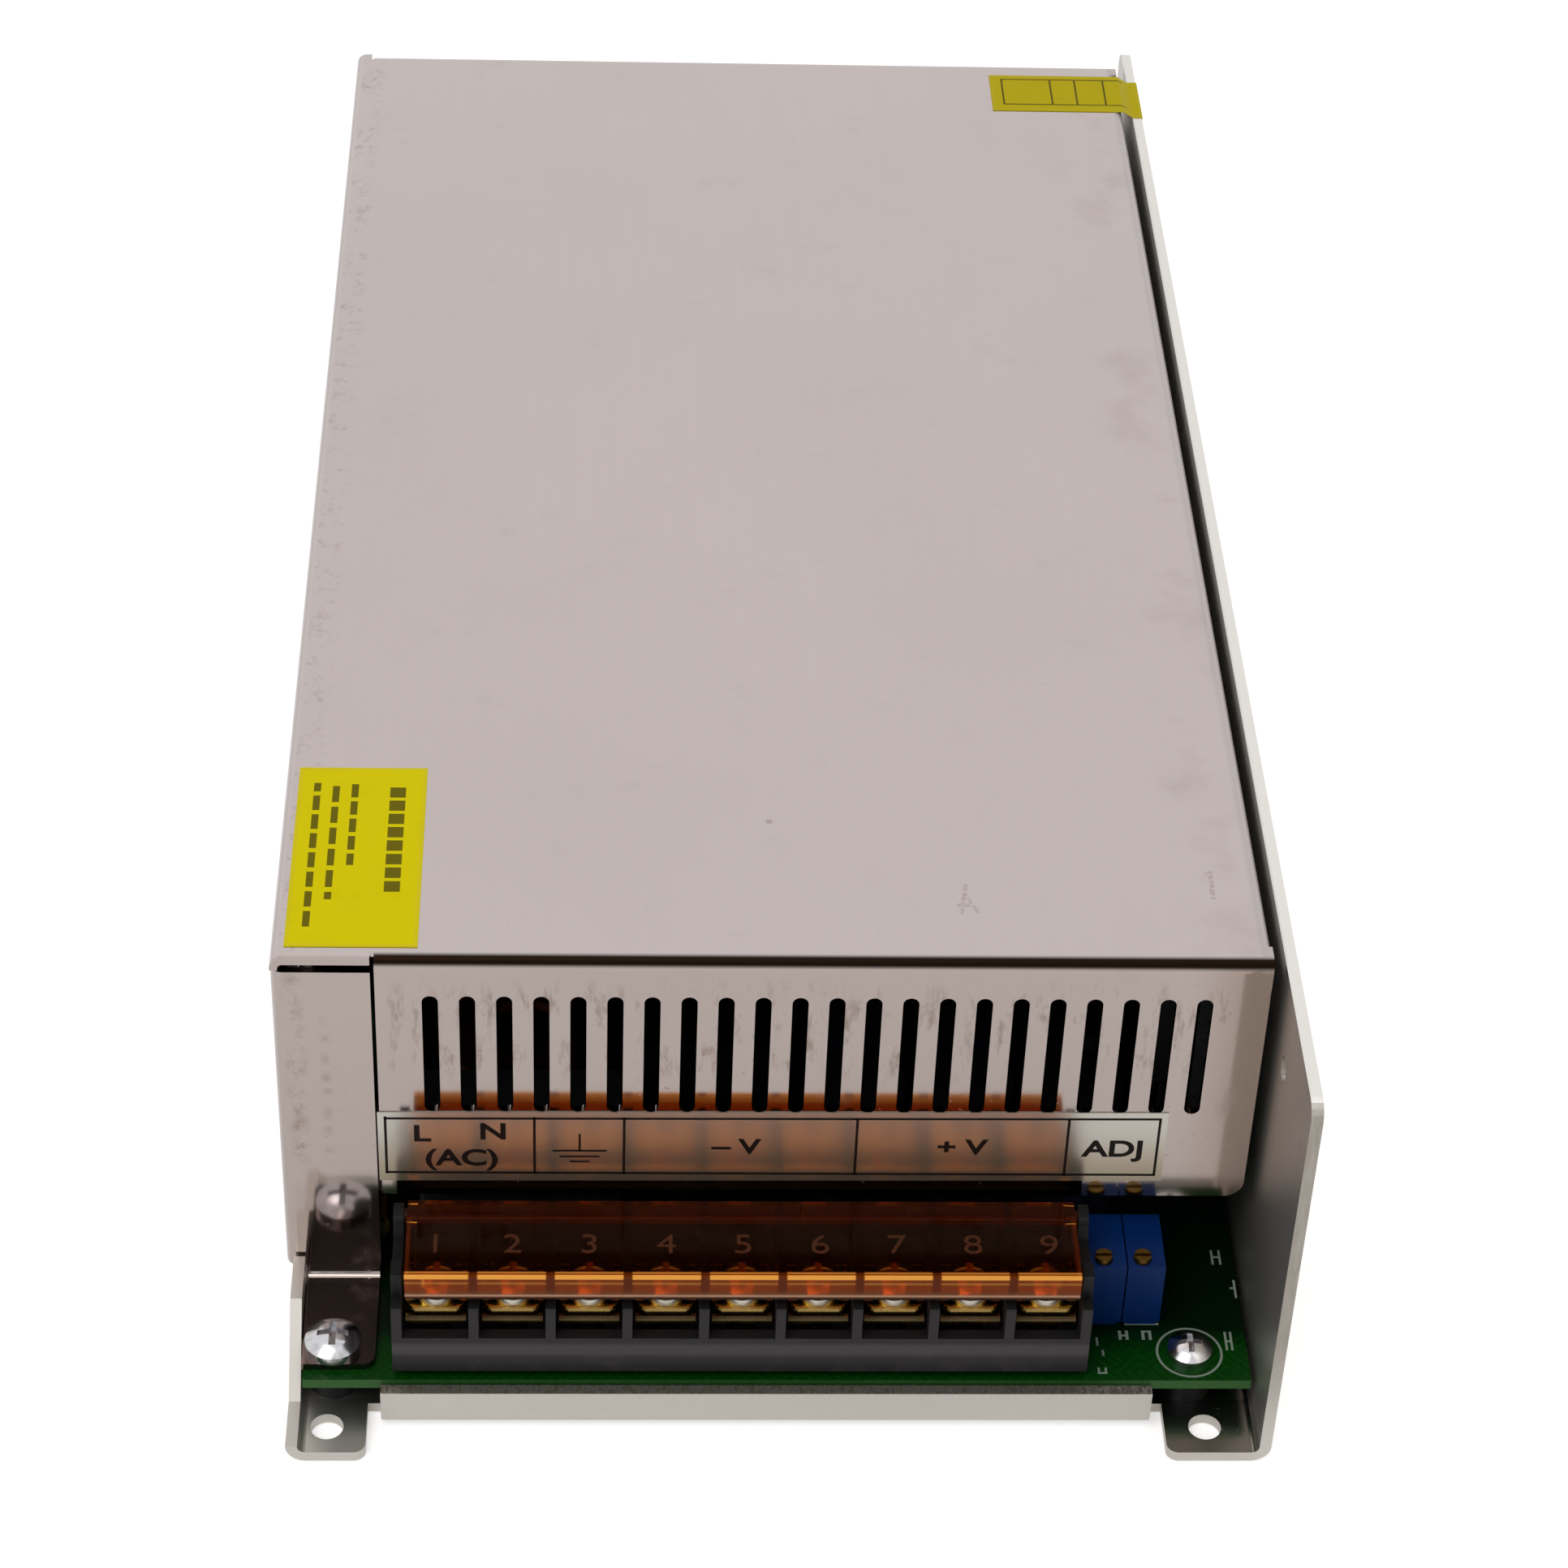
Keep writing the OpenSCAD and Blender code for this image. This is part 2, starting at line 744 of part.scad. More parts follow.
// The rear face, tucked behind the rear lip
module rear_panel() {
    translate([rear_left, cover_rear, body_h]) along_x(cover_right - rear_left)
        rotate(180) fold(2 * cover_out, body_h - base_out, cover_t, cover_bend);
}

module panel_slots() {
    span = cover_right - panel_left - 2 * slot_margin;
    for (i = [0:floor(span / slot_pitch)]) {
        translate([panel_left + slot_margin + i * slot_pitch, bay_l - over,
                   body_h - slot_drop - slot_l / 2])
            along_y(cover_t + 2 * over) slot(slot_w, slot_l);
    }
}

// Two groups of slots high on the left side, above the chassis wall
module side_slots() {
    group_w = (side_slots - 1) * slot_pitch;
    inset = 2 * slot_margin;
    length = cover_under - slot_drop - left_wall_h;
    for (y = [bay_l + inset, cover_rear - inset - group_w], i = [0:side_slots - 1]) {
        translate([-cover_t - over, y + i * slot_pitch, body_h - slot_drop - length / 2])
            along_x(cover_t + 2 * over) slot(slot_w, length);
    }
}

// Rings of openings with four spokes, and the fan's screw holes
module fan_grille() {
    rings = floor((fan_bore / 2 - ring_hub + ring_bar) / ring_step);
    translate([fan_x, cover_rear - cover_t - over, fan_z]) along_y(cover_t + 2 * over) {
        difference() {
            for (i = [0:rings - 1]) {
                difference() {
                    circle(ring_hub + i * ring_step + ring_slot);
                    circle(ring_hub + i * ring_step);
                }
            }
            for (a = [45, 135]) {
                rotate(a) square([fan_bore, grille_spoke_w], center = true);
            }
        }
        fan_screw_circles(grille_hole);
    }
}

module fan_screw_circles(d) {
    for (x = [-1, 1], z = [-1, 1]) {
        translate([x, z] * fan_holes / 2) circle(d = d);
    }
}

module cover_screws() {
    color("silver") from_corner() at_cover_screws() flat_screw(m3_head, m3 - thread_slack, cover_screw_l);
}

module tab_screw() {
    color("silver") from_corner() translate([tab_screw_x, tab_screw_y, board_top + cover_t])
        pan_screw(tab_head, m4_head_h, m4 - thread_slack, board_t + cover_t + post_h - over);
}

// ---- Circuit board ----

module insulation_sheet() {
    edge = base_out + film_edge;
    film_y = tab_screw_y + post_d;
    color([0.9, 0.9, 0.85]) from_corner() difference() {
        translate([edge, film_y, base_t])
            cube([body_w - 2 * edge, board_rear - film_y, film_t]);
        for (p = board_screws_at) {
            translate([p[0], p[1], base_t - over])
                cylinder(d = post_d + 2 * film_gap, h = film_t + 2 * over);
        }
    }
}

module circuit_board() {
    color([0.05, 0.32, 0.08]) from_corner() difference() {
        translate([board_left, board_front, board_z])
            cube([board_right - board_left, board_rear - board_front, board_t]);
        for (p = board_screws_at) {
            translate([p[0], p[1], board_z - over]) cylinder(d = m3_hole, h = board_t + 2 * over);
        }
        translate([tab_screw_x, tab_screw_y, board_z - over])
            cylinder(d = m4 + 2 * thread_slack, h = board_t + 2 * over);
    }
}

// A threaded post pressed into the base
module board_post(bore) {
    difference() {
        union() {
            cylinder(d = clinch_d, h = base_t);
            translate([0, 0, base_t]) cylinder(d = post_d, h = post_h);
        }
        translate([0, 0, base_t / 2]) cylinder(d = bore, h = base_t + post_h);
    }
}

module board_posts() {
    color("silver") from_corner() {
        for (p = board_screws_at) {
            translate([p[0], p[1], 0]) board_post(m3);
        }
        translate([tab_screw_x, tab_screw_y, 0]) board_post(m4);
    }
}

module board_screws() {
    color("silver") from_corner() for (p = board_screws_at) {
        translate([p[0], p[1], board_top])
            pan_screw(board_head, m3_head_h, m3 - thread_slack, board_t + post_h - over);
    }
}

// ---- Terminals ----

// Centre of each terminal, from the left side of the chassis
function pole_x(i) = block_x + end_wall_t + (pole_pitch - barrier_t) / 2 + i * pole_pitch;

// Section of the block between two barriers, in Y and Z
module block_section() {
    shelf_y = block_rear - block_rear_t;
    wall_y = block_y + block_front_t;
    rear_top = pivot_z - pivot_swing;
    polygon([[wall_y, board_top], [block_rear, board_top], [block_rear, rear_top],
             [shelf_y, rear_top], [shelf_y, plate_z], [block_y + trench_l, plate_z],
             [block_y + trench_l, trench_z], [wall_y, trench_z], [wall_y, board_top + block_h],
             [block_y, board_top + block_h], [block_y, board_top + block_rise],
             [wall_y, board_top + block_rise]]);
}

// Section of a barrier: low at the front, then rising under the flip cover
module barrier_section() {
    wall_y = block_y + block_front_t;
    step_y = block_y + barrier_step;
    difference() {
        polygon([[block_y, board_top + block_rise], [wall_y, board_top + block_rise],
                 [wall_y, board_top], [block_rear, board_top], [block_rear, flip_under - flip_rest],
                 [step_y, flip_under - flip_rest], [step_y, board_top + barrier_h],
                 [block_y, board_top + barrier_h]]);
        translate([pivot_y, pivot_z]) circle(pivot_swing);
        translate([pivot_y, pivot_z - pivot_swing]) square([block_rear, flip_top]);
    }
}

// Section of an end wall, with its latch post and the flip cover's pivot
module end_section() {
    wall_y = block_y + block_front_t;
    saddle_z = flip_under - flip_rest - latch_h;
    polygon([[block_y, board_top + block_rise], [wall_y, board_top + block_rise],
             [wall_y, board_top], [block_rear, board_top], [block_rear, pivot_z],
             [pivot_y - pivot_wall, pivot_z], [pivot_y - pivot_swing, saddle_z],
             [latch_y + latch_l + latch_h / 3, saddle_z], [latch_y + latch_l, saddle_z + latch_h],
             [latch_y, saddle_z + latch_h], [latch_y, board_top + barrier_h],
             [block_y, board_top + barrier_h]]);
    translate([pivot_y, pivot_z]) circle(pivot_wall);
}

module terminal_block() {
    color([0.16, 0.16, 0.17]) from_corner() difference() {
        union() {
            translate([block_x, 0, 0]) along_x(block_w) block_section();
            for (i = [1:poles - 1]) {
                translate([pole_x(i) - (pole_pitch + barrier_t) / 2, 0, 0])
                    along_x(barrier_t) barrier_section();
            }
            for (x = [block_x, block_x + block_w - end_wall_t]) {
                translate([x, 0, 0]) along_x(end_wall_t) end_section();
            }
        }
        for (i = [0:poles - 1]) {
            translate([pole_x(i), pole_y, screw_tip_z - washer_gap - screw_bore_end])
                cylinder(d = screw_shank + 2 * screw_bore_gap, h = plate_z - screw_tip_z);
            translate([pole_x(i), pole_y, plate_z - collar_h - collar_gap])
                cylinder(d = collar_d + 2 * collar_gap, h = collar_h + over);
        }
        for (x = [block_x - over, block_x + block_w - end_wall_t - over]) {
            translate([x, pivot_y, pivot_z]) rotate([0, 90, 0])
                cylinder(d = pivot_d + 2 * running_gap, h = end_wall_t + 2 * over);
        }
    }
}

// A contact: flat plate with a drawn collar for the screw
module terminal_plate() {
    difference() {
        union() {
            translate([-washer_w / 2, plate_front - pole_y, plate_z])
                cube([washer_w, plate_rear - plate_front, plate_t]);
            translate([0, 0, plate_z - collar_h]) cylinder(d = collar_d, h = collar_h + plate_t / 2);
        }
        translate([0, 0, plate_z - collar_h - over])
            cylinder(d = screw_shank + 2 * running_gap, h = collar_h + plate_t + 2 * over);
    }
}

module terminal_plates() {
    color([0.72, 0.6, 0.24]) from_corner() for (i = [0:poles - 1]) {
        translate([pole_x(i), pole_y, 0]) terminal_plate();
    }
}

module terminal_screw(n) {
    color("silver") from_corner() translate([pole_x(n - 1), pole_y, screw_head_z])
        pan_screw(screw_head, screw_head_h, screw_shank, screw_head_z - screw_tip_z);
}

// A square washer that stays on its screw, with its front corners taken off
module clamp_washer(n) {
    half = washer_w / 2;
    rear = washer_l / 2;
    color([0.72, 0.6, 0.24]) from_corner() translate([pole_x(n - 1), pole_y, washer_z]) difference() {
        linear_extrude(washer_t)
            polygon([[-half, rear], [half, rear], [half, washer_corner - rear],
                     [half - washer_corner, -rear], [washer_corner - half, -rear],
                     [-half, washer_corner - rear]]);
        translate([0, 0, -over]) cylinder(d = screw_shank + 2 * running_gap, h = washer_t + 2 * over);
    }
}

// The clear cover over the terminals: a plate with a front lip, end ribs and pivot pins
module flip_cover() {
    flip_left = block_x + end_wall_t + flip_gap;
    flip_w = block_w - 2 * (end_wall_t + flip_gap);
    pin_l = flip_gap + end_wall_t - wall_gap;
    color([0.85, 0.4, 0.05, 0.7]) from_corner() translate([flip_left, 0, 0]) {
        along_x(flip_w) {
            translate([flip_front, flip_under]) square([flip_rear - flip_front, flip_t]);
            translate([flip_front, flip_top - flip_lip]) square([flip_t, flip_lip]);
        }
        for (x = [0, flip_w - flip_rib]) {
            translate([x, 0, 0]) along_x(flip_rib) {
                translate([flip_front, flip_top - flip_rib_h]) square([pivot_y - flip_front, flip_rib_h]);
                translate([pivot_y, pivot_z]) circle(d = pivot_eye);
            }
        }
        for (x = [-pin_l, flip_w - flip_rib]) {
            translate([x, pivot_y, pivot_z]) rotate([0, 90, 0])
                cylinder(d = pivot_d, h = pin_l + flip_rib);
        }
    }
}

// Printed strip on the front panel, stuck on a little askew
module terminal_legend() {
    color("gainsboro") from_corner()
        translate([panel_left - seam_w / 2, bay_l - legend_t, panel_z + legend_rise])
        rotate([0, -legend_tilt, 0])
        cube([cover_right - panel_left - legend_inset, legend_t, legend_h]);
}

// ---- Trimmers ----

function trimmer_x(n) = block_x + block_w + block_gap + (n - 1) * (trimmer_w + trimmer_gap);

module trimmer_body() {
    translate([0, 0, trimmer_z]) difference() {
        union() {
            cube([trimmer_w, trimmer_l, trimmer_h]);
            for (y = [0, trimmer_l - trimmer_nib]) {
                translate([trimmer_nib / 2, y, -trimmer_foot])
                    cube([trimmer_w - trimmer_nib, trimmer_nib, trimmer_nib]);
            }
        }
        translate([trimmer_w / 2 - trimmer_screw_side, trimmer_screw_y, trimmer_h - trimmer_screw_sink])
            cylinder(d = trimmer_screw_d + 2 * running_gap, h = trimmer_screw_sink + over);
    }
}

module trimmer_bodies() {
    color([0.08, 0.2, 0.62]) from_corner() for (n = [1, 2]) {
        translate([trimmer_x(n), trimmer_y, 0]) trimmer_body();
    }
}

module trimmer_screw(n) {
    height = trimmer_screw_sink - running_gap + trimmer_screw_h;
    color([0.72, 0.55, 0.2]) from_corner()
        translate([trimmer_x(n) + trimmer_w / 2 - trimmer_screw_side, trimmer_y + trimmer_screw_y,
                   trimmer_z + trimmer_h + trimmer_screw_h - height])
        difference() {
            cylinder(d = trimmer_screw_d, h = height);
            translate([-trimmer_screw_d, -trimmer_kerf / 2, height - trimmer_screw_h * 0.75])
                cube([2 * trimmer_screw_d, trimmer_kerf, trimmer_screw_h]);
        }
}

// ---- Line side parts on the board ----

// Puts children on the board at x and y
module on_board(x, y) {
    translate([x, y, board_top]) children();
}

module fuse() {
    cap_l = fuse_l / 4;
    color("white") from_corner() on_board(fuse_x, line_y) translate([0, 0, fuse_z]) rotate([-90, 0, 0]) {
        cylinder(d = fuse_d * 0.92, h = fuse_l);
        for (z = [0, fuse_l - cap_l]) {
            translate([0, 0, z]) cylinder(d = fuse_d, h = cap_l);
        }
    }
}

// Two sprung clips that hold the fuse's caps
module fuse_clips() {
    color([0.75, 0.62, 0.3]) from_corner() for (y = [clip_t, fuse_l - clip_t - clip_l]) {
        on_board(fuse_x, line_y + y) along_y(clip_l) difference() {
            union() {
                translate([0, fuse_z]) circle(d = fuse_d + 2 * clip_t);
                translate([-clip_t, 0]) square([2 * clip_t, fuse_z]);
            }
            translate([0, fuse_z]) circle(d = fuse_d);
            translate([-fuse_d, fuse_z + fuse_d * 0.3]) square([2 * fuse_d, fuse_d]);
        }
    }
}

module line_capacitors() {
    color([0.8, 0.68, 0.2]) from_corner() for (y = [line_y, line_cap_2_y]) {
        on_board(line_x - line_cap_w / 2, y) linear_extrude(line_cap_h)
            round_rect(line_cap_w, line_cap_l, line_cap_corner);
    }
}

// Two chokes, each a ring core with a pair of windings on a round base
module line_chokes() {
    base_h = choke_h / 8;
    ring_h = choke_h * 0.5;
    coil_h = choke_h - base_h;
    color([0.72, 0.35, 0.12]) from_corner() for (y = [choke_1_y, choke_2_y]) {
        on_board(line_x, y) {
            cylinder(d = choke_d, h = base_h);
            translate([0, 0, base_h + coil_h / 2]) {
                rotate_extrude() translate([choke_d / 4, -ring_h / 2]) square([choke_d * 0.15, ring_h]);
                for (a = [20, 200]) {
                    rotate(a) rotate_extrude(angle = 140) translate([choke_d * 0.17, -coil_h / 2])
                        round_rect(choke_d * 0.3, coil_h, choke_d * 0.06);
                }
            }
        }
    }
}

// A thermistor: a disc standing on its two leads
module thermistor() {
    color("darkslategray") from_corner() on_board(ntc_x, ntc_y) {
        translate([0, ntc_t / 2, ntc_z]) rotate([90, 0, 0]) cylinder(d = ntc_d, h = ntc_t);
        for (s = [-1, 1]) {
            translate([s * ntc_d * 0.29, 0, 0]) cylinder(d = ntc_d * 0.06, h = ntc_z);
        }
    }
}

// A flat bridge rectifier standing on four leads
module bridge_rectifier() {
    pitch = (bridge_w - 4 * bridge_lead) / 3;
    color([0.12, 0.12, 0.13]) from_corner() on_board(mid_x, bridge_y) {
        difference() {
            translate([0, 0, bridge_rise]) cube([bridge_w, bridge_t, bridge_h]);
            translate([bridge_w / 2, -over, bridge_rise + bridge_h * 0.7]) rotate([-90, 0, 0])
                cylinder(d = m3_hole, h = bridge_t + 2 * over);
        }
        for (i = [0:3]) {
            translate([1.5 * bridge_lead + i * pitch, bridge_t / 3, 0])
                cube([bridge_lead, bridge_t / 3, bridge_rise]);
        }
    }
}

// A capacitor can with its groove near the base and a scored top
module can(d, h) {
    groove = d * 0.03;
    score = d * 0.015;
    difference() {
        rotate_extrude() difference() {
            square([d / 2, h]);
            translate([d / 2 + groove, h * 0.1]) circle(2 * groove);
        }
        for (a = [0, 90]) {
            rotate(a) translate([-d * 0.3, -score, h - score]) cube([d * 0.6, 2 * score, score + over]);
        }
    }
}

module bulk_capacitors() {
    color([0.1, 0.12, 0.2]) from_corner() for (y = [bulk_1_y, bulk_2_y]) {
        on_board(bulk_x, y) can(bulk_d, bulk_h);
    }
}

// ---- Transformers and output side ----

// Ferrite core with a window on each side of its middle leg
module transformer_core() {
    window_w = (core_w - core_leg) / 2 - core_yoke;
    color([0.2, 0.2, 0.22]) from_corner() on_board(core_x, core_y)
        translate([-core_w / 2, -core_l / 2, core_z]) along_y(core_l) difference() {
            square([core_w, core_h]);
            for (x = [core_yoke, core_w - core_yoke - window_w]) {
                translate([x, core_yoke]) square([window_w, core_h - 2 * core_yoke]);
            }
        }
}

// Coil on its bobbin, around the core's middle leg, with two pin rails
module transformer_winding() {
    low = core_z + core_yoke + coil_gap;
    leg_gap = coil_gap / 2;
    color([0.85, 0.72, 0.2]) from_corner() on_board(core_x, core_y) difference() {
        union() {
            translate([-coil_w / 2, -coil_l / 2, low]) {
                cube([coil_w, coil_l, coil_flange_t]);
                translate([0, 0, coil_h - coil_flange_t]) cube([coil_w, coil_l, coil_flange_t]);
                translate([coil_flange_t / 2, coil_flange_t / 2, 0]) linear_extrude(coil_h)
                    round_rect(coil_w - coil_flange_t, coil_l - coil_flange_t, coil_corner);
            }
            for (y = [-coil_l / 2, coil_l / 2 - coil_rail]) {
                translate([-coil_w / 2, y, 0]) cube([coil_w, coil_rail, low]);
            }
        }
        translate([-core_leg / 2 - leg_gap, -core_l / 2 - leg_gap, 0])
            cube([core_leg + 2 * leg_gap, core_l + 2 * leg_gap, core_z + core_h]);
    }
}

// A small transformer: foot, core and coil as one
module driver_transformer() {
    color([0.8, 0.7, 0.25]) from_corner() on_board(mid_x, driver_y) {
        linear_extrude(driver_h / 5) round_rect(driver_w, driver_l, driver_l / 24);
        translate([driver_w * 0.1, driver_l * 0.3, driver_h * 0.1])
            cube([driver_w * 0.8, driver_l * 0.4, driver_h * 0.9]);
        translate([driver_w / 4, driver_l * 0.04, driver_h * 0.15]) linear_extrude(driver_h * 0.7)
            round_rect(driver_w / 2, driver_l * 0.92, driver_l / 6);
    }
}

// A wound ring lying on its round base
module output_inductor() {
    base_h = inductor_h / 11;
    color([0.75, 0.4, 0.15]) from_corner() on_board(inductor_x, inductor_y) {
        cylinder(d = inductor_d, h = base_h);
        translate([0, 0, base_h]) rotate_extrude() translate([inductor_d * 0.21, 0])
            round_rect(inductor_d * 0.26, inductor_h - base_h, inductor_d * 0.08);
    }
}

module output_capacitors() {
    color([0.1, 0.1, 0.12]) from_corner() for (i = [0:2], j = [0:1]) {
        on_board(out_cap_x - i * out_cap_pitch, out_cap_y + j * out_cap_pitch) can(out_cap_d, out_cap_h);
    }
}

// A 16 pin chip: body with a row of bent pins on each side
module control_chip() {
    color([0.1, 0.1, 0.1]) from_corner() on_board(mid_x, chip_y) {
        translate([0, chip_pin, chip_rise]) cube([chip_l, chip_w, chip_h]);
        for (i = [0:7], y = [0, chip_pin + chip_w]) {
            translate([chip_pin + i * chip_pin_pitch, y, 0])
                cube([chip_pin, chip_pin, chip_rise + chip_h / 2]);
        }
    }
}

// ---- Heat sink ----

// Middle of each power device along the bar
function device_y(i) = sink_y + device_end + i * device_pitch;

module heat_sink_bar() {
    color("gainsboro") from_corner() difference() {
        translate([wall_in - sink_t, sink_y, sink_z]) cube([sink_t, sink_l, sink_h]);
        at_sink_screws() flat_screw_hole(m3_head, m3, base_t + sink_t + over);
        for (i = [0:devices - 1]) {
            translate([wall_in - sink_t - over, device_y(i), device_screw_z]) rotate([0, 90, 0])
                cylinder(d = m3, h = sink_t * 0.7 + over);
        }
    }
}

// A flat power device on three leads, with its screw hole near the top
module power_device() {
    difference() {
        translate([-device_t, -device_w / 2, device_z]) cube([device_t, device_w, device_h]);
        translate([-device_t - over, 0, device_screw_z]) rotate([0, 90, 0])
            cylinder(d = m3_hole, h = device_t + 2 * over);
    }
    for (i = [-1:1]) {
        translate([-device_t / 2, i * device_lead_pitch - device_lead_w / 2, board_top])
            cube([device_lead_t, device_lead_w, device_z - board_top]);
    }
}

module power_devices() {
    color([0.13, 0.13, 0.14]) from_corner() for (i = [0:devices - 1]) {
        translate([wall_in - sink_t, device_y(i), 0]) power_device();
    }
}

module device_screws() {
    color("silver") from_corner() for (i = [0:devices - 1]) {
        translate([device_face, device_y(i), device_screw_z]) rotate([0, -90, 0])
            pan_screw(m3_head, m3_head_h, m3 - thread_slack, device_screw_l);
    }
}

module heat_sink_screws() {
    color("silver") from_corner() at_sink_screws() flat_screw(m3_head, m3 - thread_slack, sink_screw_l);
}

// ---- Fan ----

module fan_frame() {
    color([0.12, 0.12, 0.13]) from_corner() translate([fan_x, fan_y, fan_z]) difference() {
        union() {
            for (y = [0, fan_l - fan_flange_t]) {
                translate([0, y, 0]) along_y(fan_flange_t) difference() {
                    translate([-fan_w / 2, -fan_w / 2]) round_rect(fan_w, fan_w, fan_corner);
                    circle(d = fan_bore);
                    fan_screw_circles(m4 + thread_slack);
                }
            }
            along_y(fan_l) difference() {
                circle(d = fan_w);
                circle(d = fan_bore);
            }
            translate([0, fan_l - fan_strut_t, 0]) along_y(fan_strut_t) {
                circle(d = fan_hub);
                for (a = [45, 135]) {
                    rotate(a) square([fan_bore + fan_wall_t, fan_strut_w], center = true);
                }
            }
        }
        along_y(fan_l + over) circle(d = fan_axle + 2 * running_gap);
    }
}

// Hub, blades and axle turning as one
module fan_rotor() {
    hub_l = fan_l - fan_strut_t - 2 * fan_end_gap;
    tip_r = fan_bore / 2 - fan_tip_gap;
    color([0.2, 0.2, 0.21]) from_corner() translate([fan_x, fan_y + fan_end_gap, fan_z])
        rotate([-90, 0, 0]) {
            cylinder(d = fan_hub, h = hub_l);
            cylinder(d = fan_axle, h = fan_l - 2 * fan_end_gap);
            intersection() {
                difference() {
                    translate([0, 0, blade_t / 2]) cylinder(r = tip_r, h = hub_l - blade_t);
                    cylinder(d = fan_hub - blade_t, h = hub_l);
                }
                for (i = [0:blades - 1]) {
                    rotate(i * 360 / blades) translate([0, 0, hub_l / 2]) rotate([blade_turn, 0, 0])
                        translate([fan_hub / 2 - blade_t, -blade_t / 2, -hub_l])
                        cube([tip_r, blade_t, 2 * hub_l]);
                }
            }
        }
}

// Four screws through the cover's rear face into the fan frame
module fan_screws() {
    color("silver") from_corner() for (x = [-1, 1], z = [-1, 1]) {
        translate([fan_x + x * fan_holes / 2, cover_rear, fan_z + z * fan_holes / 2])
            rotate([-90, 0, 0]) pan_screw(fan_head, fan_head_h, m4, fan_screw_l);
    }
}

// Sheathed lead from the frame's corner, bent down into a plug on the board
module fan_lead() {
    lead_x = fan_x + fan_w / 2 - lead_side;
    run_z = board_top + lead_rise;
    plug_y = board_rear - plug_inset;
    color([0.15, 0.15, 0.16]) from_corner() {
        translate([lead_x, plug_y + lead_bend, run_z]) along_y(fan_y - plug_y - lead_bend)
            circle(d = lead_d);
        translate([lead_x, plug_y + lead_bend, run_z - lead_bend]) rotate([90, 0, -90])
            rotate_extrude(angle = 90) translate([lead_bend, 0]) circle(d = lead_d);
        translate([lead_x, plug_y, board_top]) cylinder(d = lead_d, h = lead_rise - lead_bend);
        translate([lead_x - plug_w / 2, plug_y - plug_l / 2, board_top]) cube([plug_w, plug_l, plug_h]);
    }
}

// ---- Selector and labels ----

module selector_body() {
    color([0.12, 0.12, 0.12]) from_corner() translate([base_t, selector_y, selector_z]) difference() {
        translate([0, 0, -selector_h / 2]) cube([selector_d, selector_w, selector_h]);
        translate([-over, window_y - selector_y, -window_h / 2])
            cube([selector_d - selector_wall + over, window_w, window_h]);
    }
}

// The slider, with the ridge that a screwdriver pushes
module selector_slider() {
    height = window_h - 2 * slider_gap;
    color("red") from_corner() translate([slider_x, window_y + slider_gap, selector_z - height / 2]) {
        cube([slider_l, slider_w, height]);
        translate([-slider_knob_h, (slider_w - slider_knob_w) / 2, 0])
            cube([over, slider_knob_w, height]);
    }
}

module yellow_label() {
    color("gold") from_corner() translate([label_x, bay_l + label_inset, body_h])
        cube([label_w, label_l, label_t]);
}

// A thin strip stuck from the cover across the slit and down the right wall
module seal_strip() {
    left = body_w - seal_w;
    low = wall_h - seal_drop;
    color("gold") from_corner() translate([0, cover_rear - seal_inset, 0]) along_y(seal_l)
        polygon([[left, body_h], [cover_right, body_h], [wall_in, wall_h], [body_w, wall_h],
                 [body_w, low], [body_w + seal_t, low], [body_w + seal_t, wall_h + seal_t],
                 [wall_in, wall_h + seal_t], [cover_right, body_h + seal_t],
                 [left, body_h + seal_t]]);
}

chassis();
cover();
insulation_sheet();
circuit_board();
board_posts();
board_screws();
tab_screw();
cover_screws();
terminal_block();
terminal_plates();
terminal_screw(1);  // terminal_screw_1
terminal_screw(2);  // terminal_screw_2
terminal_screw(3);  // terminal_screw_3
terminal_screw(4);  // terminal_screw_4
terminal_screw(5);  // terminal_screw_5
terminal_screw(6);  // terminal_screw_6
terminal_screw(7);  // terminal_screw_7
terminal_screw(8);  // terminal_screw_8
terminal_screw(9);  // terminal_screw_9
clamp_washer(1);  // clamp_washer_1
clamp_washer(2);  // clamp_washer_2
clamp_washer(3);  // clamp_washer_3
clamp_washer(4);  // clamp_washer_4
clamp_washer(5);  // clamp_washer_5
clamp_washer(6);  // clamp_washer_6
clamp_washer(7);  // clamp_washer_7
clamp_washer(8);  // clamp_washer_8
clamp_washer(9);  // clamp_washer_9
flip_cover();
trimmer_bodies();
trimmer_screw(1);  // trimmer_screw_1
trimmer_screw(2);  // trimmer_screw_2
fuse();
fuse_clips();
line_capacitors();
line_chokes();
thermistor();
bridge_rectifier();
bulk_capacitors();
transformer_core();
transformer_winding();
driver_transformer();
output_inductor();
output_capacitors();
control_chip();
heat_sink_bar();
power_devices();
device_screws();
heat_sink_screws();
fan_frame();
fan_rotor();
fan_screws();
fan_lead();
selector_body();
selector_slider();
yellow_label();
seal_strip();
terminal_legend();
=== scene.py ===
import json
import math
import bmesh
import bpy
from mathutils import Matrix, Vector

